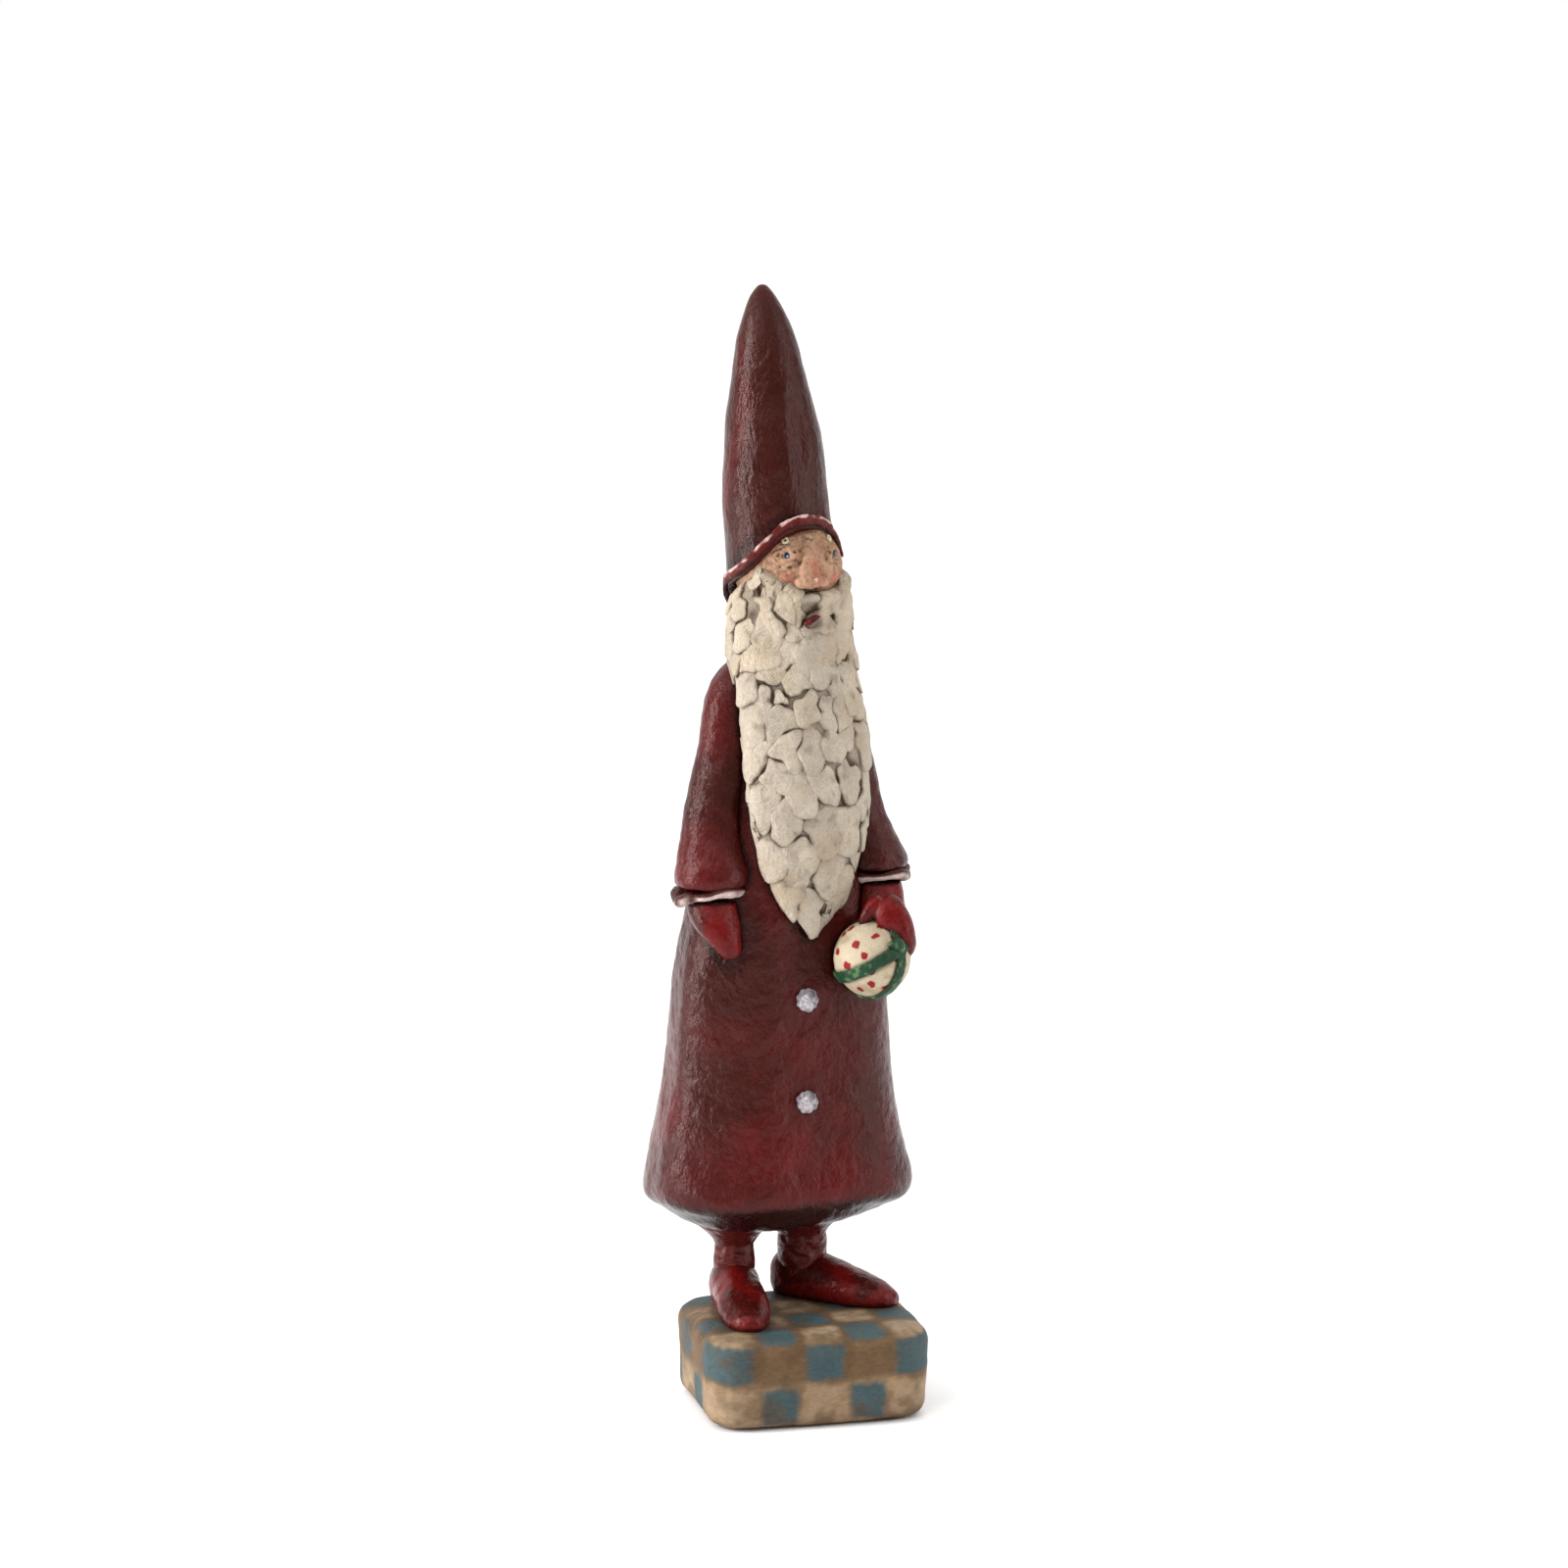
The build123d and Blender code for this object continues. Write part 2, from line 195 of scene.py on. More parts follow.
class Clay:
    """An even skin that is smoothed and pushed about like clay, then painted point by point."""

    def __init__(self, name, mesh):
        self.piece = bpy.data.objects.new(name, mesh)
        bpy.context.scene.collection.objects.link(self.piece)
        self.mesh = mesh
        self.points = np.empty(len(mesh.vertices) * 3)
        mesh.vertices.foreach_get("co", self.points)
        self.points = self.points.reshape(-1, 3) / MM
        edges = np.empty(len(mesh.edges) * 2, dtype=np.int32)
        mesh.edges.foreach_get("vertices", edges)
        self.edges = edges.reshape(-1, 2)
        self.degree = np.bincount(edges, minlength=len(self.points)).astype(float)
        mesh.polygons.foreach_set("use_smooth", np.ones(len(mesh.polygons), dtype=bool))

    def around(self, values):
        """The mean of each point's neighbours."""
        first, second = self.edges.T
        total = np.zeros_like(values)
        for column in range(values.shape[1]):
            total[:, column] = np.bincount(first, values[second, column], len(values))
            total[:, column] += np.bincount(second, values[first, column], len(values))
        return total / np.maximum(self.degree, 1.0)[:, None]

    def smoothed(self, values, rounds):
        """Values evened out along the skin."""
        values = values.reshape(len(self.points), -1).astype(float)
        for _ in range(rounds):
            values = (values + self.around(values)) / 2
        return values

    def smooth(self, rounds):
        self.points = self.smoothed(self.points, rounds)

    def normals(self):
        self.write()
        found = np.empty(len(self.points) * 3)
        self.mesh.vertex_normals.foreach_get("vector", found)
        return found.reshape(-1, 3)

    def push(self, amount):
        """Moves each point along its normal, in millimetres."""
        self.points = self.points + self.normals() * np.asarray(amount).reshape(-1, 1)

    def knead(self, *layers, base=0.0):
        """Pushes the skin out by base and by layers of noise, each (height, size, seed, octaves)."""
        self.push(sum((height * noise(self.points, *rest) for height, *rest in layers), base))

    def hollow(self, rounds=6):
        """Above 0 in creases and below 0 on edges, from about -1 to 1."""
        normals = self.normals()
        first, second = self.points[self.edges[:, 0]], self.points[self.edges[:, 1]]
        length = np.linalg.norm(first - second, axis=1).mean()
        bend = ((self.around(self.points) - self.points) * normals).sum(axis=1) / length
        return self.smoothed(np.clip(bend * 6.0, -1, 1), rounds)[:, 0]

    def write(self):
        self.mesh.vertices.foreach_set("co", (self.points * MM).ravel())
        self.mesh.update()

    def paint(self, colours, wash_and_shade, ridges=None):
        """Stores the paint, the dark wash and painted shade, and any finger ridges, for the materials to
        read.
        """
        self.write()
        if ridges is not None:
            layer = self.mesh.attributes.new("ridges", "FLOAT", "POINT")
            layer.data.foreach_set("value", ridges)
        layer = self.mesh.attributes.new("paint", "FLOAT_COLOR", "POINT")
        opaque = np.column_stack([np.clip(colours, 0, 1), np.ones(len(colours))])
        layer.data.foreach_set("color", opaque.ravel())
        layer = self.mesh.attributes.new("wash_and_shade", "FLOAT", "POINT")
        layer.data.foreach_set("value", np.clip(wash_and_shade, 0, 1))

    def finish(self, material, slot, *nodes):
        """Gives the piece its material and its place on the frame."""
        self.mesh.materials.clear()
        self.mesh.materials.append(material)
        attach(self.piece, "root")
        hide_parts(*nodes)


def skin(name, sources, voxel, rounds):
    """One closed clay skin round CAD nodes and lumps, with faces about voxel millimetres across."""
    fused = bmesh.new()
    for source in sources:
        fused.from_mesh(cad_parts[source].data if isinstance(source, str) else source)
    mesh = bpy.data.meshes.new(name)
    fused.to_mesh(mesh)
    fused.free()
    shell = bpy.data.objects.new(name + "_shell", mesh)
    bpy.context.scene.collection.objects.link(shell)
    remesh = shell.modifiers.new("skin", "REMESH")
    remesh.mode = "VOXEL"
    remesh.voxel_size = voxel * MM
    graph = bpy.context.evaluated_depsgraph_get()
    even = bpy.data.meshes.new_from_object(shell.evaluated_get(graph))
    bpy.data.objects.remove(shell)
    even.name = name
    clay = Clay(name, even)
    clay.smooth(rounds)
    return clay


def casting(node, size, rounds, *lumps):
    """A CAD node's skin, fused with any lumps that belong to it."""
    return skin(f"{node}_casting", [node, *lumps], size, rounds)


# ---- materials
class Nodes:
    """A small helper to lay out a material's nodes."""

    def __init__(self, name):
        self.material = bpy.data.materials.new(name)
        self.material.use_nodes = True
        self.tree = self.material.node_tree
        self.shader = self.tree.nodes["Principled BSDF"]
        self.place = self.tree.nodes.new("ShaderNodeTexCoord").outputs["Object"]

    def link(self, source, socket):
        self.tree.links.new(source, socket)

    def maths(self, operation, first, second=0.0, clamp=False):
        node = self.tree.nodes.new("ShaderNodeMath")
        node.operation = operation
        node.use_clamp = clamp
        for socket, value in zip(node.inputs, (first, second)):
            if isinstance(value, (int, float)):
                socket.default_value = value
            else:
                self.link(value, socket)
        return node.outputs[0]

    def stretched(self, squeeze, sway):
        """Places squeezed along some directions, and bent by a broad noise."""
        bend = self.tree.nodes.new("ShaderNodeTexNoise")
        bend.inputs["Scale"].default_value = 90.0
        self.link(self.place, bend.inputs["Vector"])
        shift = self.tree.nodes.new("ShaderNodeVectorMath")
        shift.operation = "MULTIPLY_ADD"
        self.link(bend.outputs["Color"], shift.inputs[0])
        shift.inputs[1].default_value = (sway * MM,) * 3
        self.link(self.place, shift.inputs[2])
        mapping = self.tree.nodes.new("ShaderNodeMapping")
        mapping.inputs["Scale"].default_value = squeeze
        self.link(shift.outputs[0], mapping.inputs["Vector"])
        return mapping.outputs[0]

    def noise(self, size, detail=3.0, roughness=0.55, at=None):
        node = self.tree.nodes.new("ShaderNodeTexNoise")
        node.inputs["Scale"].default_value = 1.0 / (size * MM)
        node.inputs["Detail"].default_value = detail
        node.inputs["Roughness"].default_value = roughness
        self.link(at or self.place, node.inputs["Vector"])
        return node.outputs["Fac"]

    def spread(self, value, low, high, to_low, to_high):
        node = self.tree.nodes.new("ShaderNodeMapRange")
        self.link(value, node.inputs["Value"])
        ends = {"From Min": low, "From Max": high, "To Min": to_low, "To Max": to_high}
        for name, number in ends.items():
            node.inputs[name].default_value = number
        return node.outputs["Result"]

    def attribute(self, name, output):
        node = self.tree.nodes.new("ShaderNodeAttribute")
        node.attribute_name = name
        return node.outputs[output]

    def mix(self, share, first, second, mode="MIX"):
        node = self.tree.nodes.new("ShaderNodeMix")
        node.data_type = "RGBA"
        node.blend_type = mode
        for name, value in (("Factor", share), ("A", first), ("B", second)):
            self.fill(node.inputs[name], value)
        return node.outputs["Result"]

    def fill(self, socket, value):
        if isinstance(value, bpy.types.NodeSocket):
            self.link(value, socket)
        elif isinstance(value, (int, float)):
            socket.default_value = value
        else:
            socket.default_value = (*value, 1.0)


def painted_clay(
    name, wash_and_shade, gloss, relief, grain=0.5, squeeze=(1.0, 1.0, 0.45), mottle=0.3, speckle=0.0, ridged=False
):
    """Hand-painted clay: brushed colour, a dark wash in the hollows, painted shade, and a worn wax gloss.

    wash_and_shade is the colour of the dark wash and the painted shade, gloss the mean roughness,
    relief the depth of the dents and grain the brush marks' width.
    """
    nodes = Nodes(name)
    paint = nodes.attribute("paint", "Color")
    marks = nodes.noise(grain, 4.0, 0.6, nodes.stretched(squeeze, 3.0))
    dents = nodes.noise(grain * 2.6, 3.0, 0.5, nodes.stretched(squeeze, 5.0))
    broad = nodes.noise(6.0, 3.0)
    fine = nodes.noise(0.3, 2.0)
    light = nodes.spread(marks, 0.3, 0.7, 1.0 - mottle, 1.0 + mottle)
    light = nodes.maths("MULTIPLY", light, nodes.spread(broad, 0.3, 0.7, 0.86, 1.12))
    shaded = nodes.mix(1.0, paint, light, "MULTIPLY")
    # the wash darkens towards the wash colour: wash in the hollows, and painted shade on some pieces
    ragged = nodes.maths("MULTIPLY", nodes.spread(fine, 0.3, 0.7, 0.6, 1.3), nodes.attribute("wash_and_shade", "Fac"))
    washed_and_shaded = nodes.mix(nodes.maths("MULTIPLY", ragged, 1.0, clamp=True), shaded, wash_and_shade)
    if speckle:
        specks = nodes.spread(nodes.noise(0.4, 3.0, 0.7), 0.6, 0.7, 0.0, speckle)
        washed_and_shaded = nodes.mix(nodes.maths("MULTIPLY", specks, 1.0, clamp=True), washed_and_shaded, wash_and_shade)
    nodes.link(washed_and_shaded, nodes.shader.inputs["Base Color"])
    rough = nodes.spread(marks, 0.3, 0.7, gloss - 0.07, gloss + 0.09)
    rough = nodes.maths("ADD", rough, nodes.spread(broad, 0.3, 0.7, -0.05, 0.06), clamp=True)
    nodes.link(rough, nodes.shader.inputs["Roughness"])
    nodes.shader.inputs["Specular IOR Level"].default_value = 0.2
    nodes.shader.inputs["Specular Tint"].default_value = (1.0, 0.78, 0.76, 1.0)
    height = nodes.maths("ADD", nodes.maths("MULTIPLY", marks, 0.35), nodes.maths("MULTIPLY", fine, 0.1))
    height = nodes.maths("ADD", height, dents)
    if ridged:
        swirl = nodes.maths("SINE", nodes.attribute("ridges", "Fac"))
        height = nodes.maths("ADD", height, nodes.maths("MULTIPLY", swirl, 0.06))
    bump = nodes.tree.nodes.new("ShaderNodeBump")
    bump.inputs["Distance"].default_value = relief * MM
    nodes.link(height, bump.inputs["Height"])
    nodes.link(bump.outputs["Normal"], nodes.shader.inputs["Normal"])
    return nodes.material


def plain_material(name, tone, rough, grain, relief, metal=0.0):
    """A procedural material for what is carried over from the CAD: grainy in colour, gloss and relief."""
    nodes = Nodes(name)
    grains = nodes.noise(grain, 4.0)
    nodes.link(nodes.mix(grains, tone * 0.6, tone * 1.3), nodes.shader.inputs["Base Color"])
    nodes.link(nodes.spread(grains, 0.3, 0.7, rough - 0.08, rough + 0.08), nodes.shader.inputs["Roughness"])
    nodes.shader.inputs["Metallic"].default_value = metal
    bump = nodes.tree.nodes.new("ShaderNodeBump")
    bump.inputs["Distance"].default_value = relief * MM
    nodes.link(grains, bump.inputs["Height"])
    nodes.link(bump.outputs["Normal"], nodes.shader.inputs["Normal"])
    return nodes.material


DARK_RED = colour(54, 18, 13)
BRIGHT_RED = colour(90, 12, 13)
PAINTED_SHEEN_RED = colour(62, 27, 26)
BLACK_RED = colour(20, 7, 6)
UMBER = colour(62, 43, 26)
CREAM = colour(174, 162, 146)
TRIM_WHITE = colour(196, 172, 166)
RIBBON_GREEN = colour(24, 58, 38)
WORN_GREEN = colour(74, 104, 66)
CHECK_BROWN = colour(100, 78, 54)
CHECK_CREAM = colour(154, 132, 106)
EVEN = (1.0, 1.0, 1.0)

coat_material = painted_clay("coat_paint", BLACK_RED, 0.2, 0.42, 0.75, squeeze=(1.0, 1.0, 0.75), mottle=0.24)
hat_material = painted_clay("hat_paint", BLACK_RED, 0.2, 0.34, 0.6, squeeze=(1.0, 1.0, 0.5), mottle=0.24)
boot_material = painted_clay("boot_paint", BLACK_RED, 0.22, 0.3, 0.8, squeeze=EVEN, mottle=0.2)
skin_material = painted_clay("skin_paint", UMBER, 0.55, 0.5, squeeze=EVEN, speckle=0.6, mottle=0.24)
beard_material = painted_clay(
    "beard_paint", UMBER, 0.66, 0.6, squeeze=EVEN, mottle=0.13, speckle=0.35, ridged=True
)
ball_material = painted_clay("ball_paint", UMBER, 0.5, 0.22, squeeze=EVEN, mottle=0.12, speckle=0.3)
trim_material = painted_clay("trim_paint", BLACK_RED, 0.34, 0.28, squeeze=EVEN)
plinth_material = painted_clay(
    "plinth_paint", UMBER, 0.6, 0.45, 0.7, squeeze=(0.5, 0.5, 1.0), mottle=0.16, speckle=0.35
)

# ---- coat, sleeves and cuffs
coat_low, coat_high = box("coat")
hem = coat_low[2]
HEM_HALF_WIDTH, HEM_HALF_DEPTH = 30.4, 21.2
HEM_HANG, HEM_HEIGHT = 4.8, 7.0


def red_paint(points, seed):
    """The coat's reds: dark all over, brighter red rubbed in, and a painted purple-brown sheen at the sides.
    """
    across = (points[:, 0] - middle("coat")[0]) / (coat_high[0] - coat_low[0]) * 2
    patches = noise(points, 16.0, seed, 3)
    colours = all_over(DARK_RED, points)
    # painted sheen: purple-brown towards both sides of the coat
    colours = blend(colours, PAINTED_SHEEN_RED, step(0.35, 0.95, np.abs(across) + 0.3 * patches) * 0.75)
    front = step(0.6, 0.0, np.abs(across + 0.05)) * step(0.0, -1.0, points[:, 1] / 10.0)
    low = step(hem + 62, hem + 6, points[:, 2])
    return blend(colours, BRIGHT_RED, np.clip(0.15 + 0.5 * front * low + 0.45 * patches, 0, 1))


coat_axis = middle("coat")
hem_bulge = []
for share in np.linspace(0.002, 1, 16):
    spread = share**0.25
    level = hem - HEM_HANG + HEM_HEIGHT * share
    half_width, half_depth = HEM_HALF_WIDTH * spread, HEM_HALF_DEPTH * spread
    hem_bulge.append((coat_axis[0], coat_axis[1], level, half_width, half_depth))
coat = casting("coat", 0.5, 12, turned(hem_bulge))
rolled = step(hem + 9, hem + 4, coat.points[:, 2])[:, None]
coat.points += (coat.smoothed(coat.points, 90) - coat.points) * rolled
front = step(2.0, 13.0, (coat.points - coat_axis) @ SCREEN_NEAR)
near_hem = step(hem + 14, hem + 4, coat.points[:, 2]) * step(hem - 4, hem + 1, coat.points[:, 2])
coat.points[:, 2] += 1.5 * front * near_hem
turn = np.degrees(np.arctan2(coat.points[:, 0] - coat_axis[0], coat_axis[1] - coat.points[:, 1]))
skirt = step(hem + 2, hem + 12, coat.points[:, 2]) * step(hem + 80, hem + 50, coat.points[:, 2])
coat.push(skirt * (1.2 * np.exp(-(((turn + 80) / 13) ** 2)) - 0.8 * np.exp(-(((turn + 48) / 16) ** 2))))
coat.knead((0.25, 13.0, 1), (0.14, 4.5, 2), (0.1, 1.8, 3))
paired = [f"{part}_{side}" for part in ("sleeve", "mitten", "leg") for side in ("right", "left")]
others = tree_of("beard", "parcel_ball", *paired)
# dark wash and painted shade where the coat meets the beard, parcel, sleeves, mittens and legs
crease_wash_and_shade = step(1.5, 0.0, distance_to(others, coat.points, 1.6))
# painted shade on the underside of the hem's roll
hem_underside_shade = step(0.0, -0.6, coat.normals()[:, 2]) * step(hem + 6, hem + 2, coat.points[:, 2])
coat.paint(red_paint(coat.points, 11), 0.8 * crease_wash_and_shade + 1.0 * hem_underside_shade + 0.7 * np.clip(coat.hollow(), 0, 1))
coat.finish(coat_material, "red_coat", "coat")

coat_side = tree_of("coat", "beard")
CUFF_SLOPE = {"right": 0.17, "left": 0.05}
for side in ("right", "left"):
    sleeve = casting(f"sleeve_{side}", 0.4, 10)
    sleeve.knead((0.22, 9.0, 4), (0.12, 3.0, 5), (0.07, 1.5, 6))
    # dark wash and painted shade where the sleeve meets the coat and the beard
    crease_wash_and_shade = step(1.3, 0.0, distance_to(coat_side, sleeve.points, 1.4))
    sleeve.paint(red_paint(sleeve.points, 12), 0.75 * crease_wash_and_shade)
    sleeve.finish(coat_material, "red_coat", f"sleeve_{side}")

    cuff = casting(f"cuff_{side}", 0.2, 5)
    around = cuff.points - middle(f"cuff_{side}")
    turn = np.arctan2(around[:, 1], around[:, 0])
    along = around @ SCREEN_RIGHT
    cuff.points[:, 2] -= 0.25 * around[:, 2]
    waves = 0.45 * np.sin(3 * turn + 1.0) + 0.3 * np.sin(5 * turn + 2.0)
    cuff.points[:, 2] += CUFF_SLOPE[side] * along + waves
    cuff.push(0.25 * np.sin(4 * turn) + 0.22 * noise(cuff.points, 2.0, 7, 2))
    patches = noise(cuff.points * (1, 1, 0.4), 4.0, 8, 2)
    rim = step(0.5, -0.3, around[:, 2] + 0.6 * patches) * step(-0.9, -0.3, patches)
    # dark wash and painted shade where the cuff meets the coat and the beard
    crease_wash_and_shade = 0.6 * step(0.6, 0.0, distance_to(coat_side, cuff.points, 0.7))
    cuff.paint(blend(red_paint(cuff.points, 13), TRIM_WHITE, rim), crease_wash_and_shade)
    cuff.finish(trim_material, "red_coat", f"cuff_{side}")

# ---- mittens
ball_centre = middle("parcel_ball")
ball_radius = (box("parcel_ball")[1] - box("parcel_ball")[0])[0] / 2
hand_low, hand_high = box("mitten_right")
hand = middle("mitten_right")


def over_ball(right, above, near, radii, lean):
    """A lump of the left mitten, placed from the ball's middle and leaning to the right."""
    centre = ball_centre + right * SCREEN_RIGHT + above * UP + near * SCREEN_NEAR
    return blob(centre, radii, lean * SCREEN_RIGHT + UP)


mitten_lumps = {
    "right": [blob((hand[0] + 2.6, hand[1] - 1.2, hand_low[2] + 7.0), (2.6, 3.0, 5.4), (-0.1, -0.3, 1))],
    "left": [
        over_ball(5.6, 7.2, 1.0, (3.2, 3.4, 7.4), -0.32),
        over_ball(3.2, 8.8, 1.6, (2.6, 2.6, 4.6), -0.25),
        over_ball(-0.6, 10.6, 1.4, (1.5, 1.6, 4.0), 0.62),
    ],
}
for side in ("right", "left"):
    mitten = casting(f"mitten_{side}", 0.28, 8, *mitten_lumps[side])
    if side == "right":
        mitten.points[:, 2] = hand_high[2] + (mitten.points[:, 2] - hand_high[2]) * 0.78
    mitten.knead((0.16, 4.0, 14), (0.06, 1.4, 15))
    beside = tree_of("coat", f"cuff_{side}", "parcel_ball", "parcel_ribbon")
    # dark wash and painted shade where the mitten meets the coat, the cuff and the parcel
    crease_wash_and_shade = step(0.9, 0.0, distance_to(beside, mitten.points, 1.0))
    along = (mitten.points - middle(f"mitten_{side}")) @ SCREEN_RIGHT
    colours = all_over(colour(96, 13, 14), mitten.points)
    colours = blend(colours, DARK_RED, step(-0.1, 0.7, noise(mitten.points, 5.0, 16, 2)) * 0.6)
    # painted shade: the right mitten darkened along its left side, as seen from the camera
    if side == "right":
        colours = blend(colours, DARK_RED, step(-0.5, -3.0, along) * 0.8)
    mitten.paint(colours, 0.7 * crease_wash_and_shade + 0.8 * step(0.1, 0.6, mitten.hollow(2)))
    mitten.finish(coat_material, "red_mitten", f"mitten_{side}")

# ---- parcel
ball = casting("parcel_ball", 0.16, 2)
ball.knead((0.12, 4.0, 17), (0.03, 1.2, 18))
count = 56
turns = np.arange(count) * math.pi * (3.0 - math.sqrt(5.0))
rise = 1.0 - 2.0 * (np.arange(count) + 0.5) / count
flat = np.sqrt(1.0 - rise**2)
jitter = 0.11 * np.random.default_rng(5).normal(size=(count, 3))
dots = unit(np.column_stack([flat * np.cos(turns), flat * np.sin(turns), rise]) + jitter)
toward = unit(ball.points - ball_centre)
nearest = (toward @ dots.T).max(axis=1)
gap = np.arccos(np.clip(nearest, -1, 1)) * ball_radius + 0.4 * noise(ball.points, 0.9, 19, 2)
colours = all_over(colour(178, 164, 140), ball.points)
colours = blend(colours, colour(150, 128, 98), step(0.1, 0.8, noise(ball.points, 2.6, 118, 3)) * 0.6)
colours = blend(colours, colour(128, 22, 27), step(0.98, 0.7, gap))
# dark wash and painted shade where the ribbon, the mitten and the coat meet the ball
ball_wash_and_shade = step(1.0, 0.0, distance_to(tree_of("parcel_ribbon", "mitten_left", "coat"), ball.points, 1.1))
ball.paint(colours, 0.75 * ball_wash_and_shade)
ball.finish(ball_material, "ball_paint", "parcel_ball")

ribbon = casting("parcel_ribbon", 0.14, 3)
ribbon.knead((0.12, 1.3, 20, 2), base=0.16)
worn = step(0.1, 0.7, noise(ribbon.points, 1.2, 21, 2))
green = blend(all_over(RIBBON_GREEN, ribbon.points), WORN_GREEN, worn)
# dark wash and painted shade where the ribbon meets the ball
ribbon.paint(green, 0.5 * step(0.3, 0.0, distance_to(tree_of("parcel_ball"), ribbon.points, 0.4)))
ribbon.finish(trim_material, "ribbon_green", "parcel_ribbon")

knot_centre = middle("parcel_knot")
loop_end = blob(knot_centre + (-0.9, 0, 0.3), (1.5, 0.9, 0.9))
hanging_end = blob(knot_centre + (0.9, 0.2, -0.5), (0.9, 0.9, 1.5))
knot = casting("parcel_knot", 0.14, 5, loop_end, hanging_end)
knot.knead((0.12, 0.9, 22, 2))
green = blend(all_over(RIBBON_GREEN, knot.points), WORN_GREEN, step(0.0, 0.7, noise(knot.points, 0.9, 23)))
knot.paint(green, 0.6 * np.clip(knot.hollow(), 0, 1))
knot.finish(trim_material, "ribbon_green", "parcel_knot")

# ---- buttons
for place in ("upper", "lower"):
    centre = middle(f"button_{place}")
    button = casting(f"button_{place}", 0.12, 3)
    out = button.points - centre
    angle = np.arctan2(out[:, 2], out[:, 0])
    grooves = np.cos(angle * 9.0) * step(0.3, 1.4, np.hypot(out[:, 0], out[:, 2]))
    button.push(0.1 * grooves + 0.16 * noise(button.points, 0.9, 24, 2))
    rim = step(0.5, 0.0, distance_to(tree_of("coat"), button.points, 0.6))
    streaks = noise(np.column_stack([angle * 2.0, out[:, 1], out[:, 1]]), 0.9, 25, 2)
    colours = blend(all_over(colour(172, 166, 168), out), colour(92, 84, 96), step(-0.6, 1.2, streaks))
    button.paint(colours, rim)
    button.finish(trim_material, "white_paint", f"button_{place}")

# ---- head and face
head_centre = middle("head")
head_radius = (box("head")[1] - box("head")[0])[0] / 2
nose_low, nose_high = box("nose")
nose_tip = np.array(((nose_low[0] + nose_high[0]) / 2 - 1.5, nose_low[1] + 1.7, nose_low[2] + 2.6))
nose_root = head_centre + (-0.4, -9.8, 6.6)


def bearings(points):
    """Each point's turn round the head in degrees, from the front towards the figure's left."""
    return np.degrees(np.arctan2(points[:, 0] - head_centre[0], head_centre[1] - points[:, 1]))


def axes_at(centre):
    """The outward, sideways and upward directions on the head at a point."""
    out = unit(centre - head_centre)
    sideways = unit(np.cross(out, UP))
    return out, sideways, np.cross(sideways, out)


def slim(points):
    """Narrows the face's left side, which was pressed flatter than the right."""
    share = step(15, 45, bearings(points))[:, None]
    points[:, :2] -= (points[:, :2] - head_centre[:2]) * 0.055 * share


lumps = []
for share in np.linspace(0, 1, 7):
    centre = nose_root + (nose_tip - nose_root) * share + (0, 0.9, 0)
    lumps.append(blob(centre, (1.6 + 1.1 * share, 1.6 + 0.6 * share, 1.9)))
for along, size in ((-1.9, 1.4), (1.3, 1.7), (2.8, 1.6)):
    lumps.append(blob(nose_tip + (along, 1.5, -0.6), (size, 1.7, 1.3)))
for way in (-1, 1):
    lumps.append(blob(head_centre + (way * 5.4, -8.5, -1.6), (2.7, 2.2, 2.4)))
for side in ("right", "left"):
    eye = middle(f"eye_{side}")
    out, sideways, up = axes_at(eye)
    for ring, size, proud in ((1.0, 0.48, 0.15), (1.75, 0.42, 0.0)):
        for turn in full_turn(30):
            wander = 0.16 * math.sin(3 * turn + 4 * ring)
            wide, tall = 1.35 * ring + wander, 0.84 * ring + wander
            lid = wide * math.cos(turn) * sideways + tall * math.sin(turn) * up
            lumps.append(blob(eye + lid + proud * out, (size, size, size)))
hat_low = box("hat")[0]
brim_low, brim_high = box("hat_brim")
brim_middle = (brim_low + brim_high) / 2
BRIM_UP = unit((0.0, 1.0, 1.0))


def brim_drop(turn):
    """How far the hat's edge is pulled down at each turn round the head, most over the temples."""
    temples = 4.0 * np.exp(-(((turn + 66) / 30) ** 2)) + 4.4 * np.exp(-(((turn - 72) / 22) ** 2))
    return temples + 0.3 * np.exp(-(((turn + 15) / 30) ** 2)) - 1.8 * np.exp(-(((turn + 122) / 18) ** 2))


def settle(points):
    """Pulls the hat's edge down, as it was pressed on by hand."""
    above = (points - brim_middle) @ BRIM_UP
    drop = brim_drop(bearings(points)) * step(15.0, 1.5, above) * step(-4.0, -1.0, above)
    points[:, 2] -= drop
    swell = 1.0 * np.exp(-(((bearings(points) - 78) / 38) ** 2)) * step(16.0, 3.0, above)
    points[:, :2] += unit(points[:, :2] - head_centre[:2]) * swell[:, None]


def under_hat(points):
    """How far above the hat's lower edge each point is, in millimetres; below 0 where the hair shows."""
    lifted = points.copy()
    lifted[:, 2] += brim_drop(bearings(points))
    return (lifted - brim_middle) @ BRIM_UP


def tuck(points, radius=11.2, low=-2.6, high=-0.9):
    """Draws in what the hat covers to within a radius, so that the brim lies over it."""
    sloped = np.where(bearings(points) > 20, 2.0 * low, low)
    share = step(sloped, high, under_hat(points))[:, None]
    out = points[:, :2] - head_centre[:2]
    radius = radius - 1.0 * np.exp(-(((bearings(points) - 85) / 45) ** 2))[:, None]
    length = np.linalg.norm(out, axis=1, keepdims=True)
    points[:, :2] -= out * (1 - np.minimum(1, radius / length)) * share


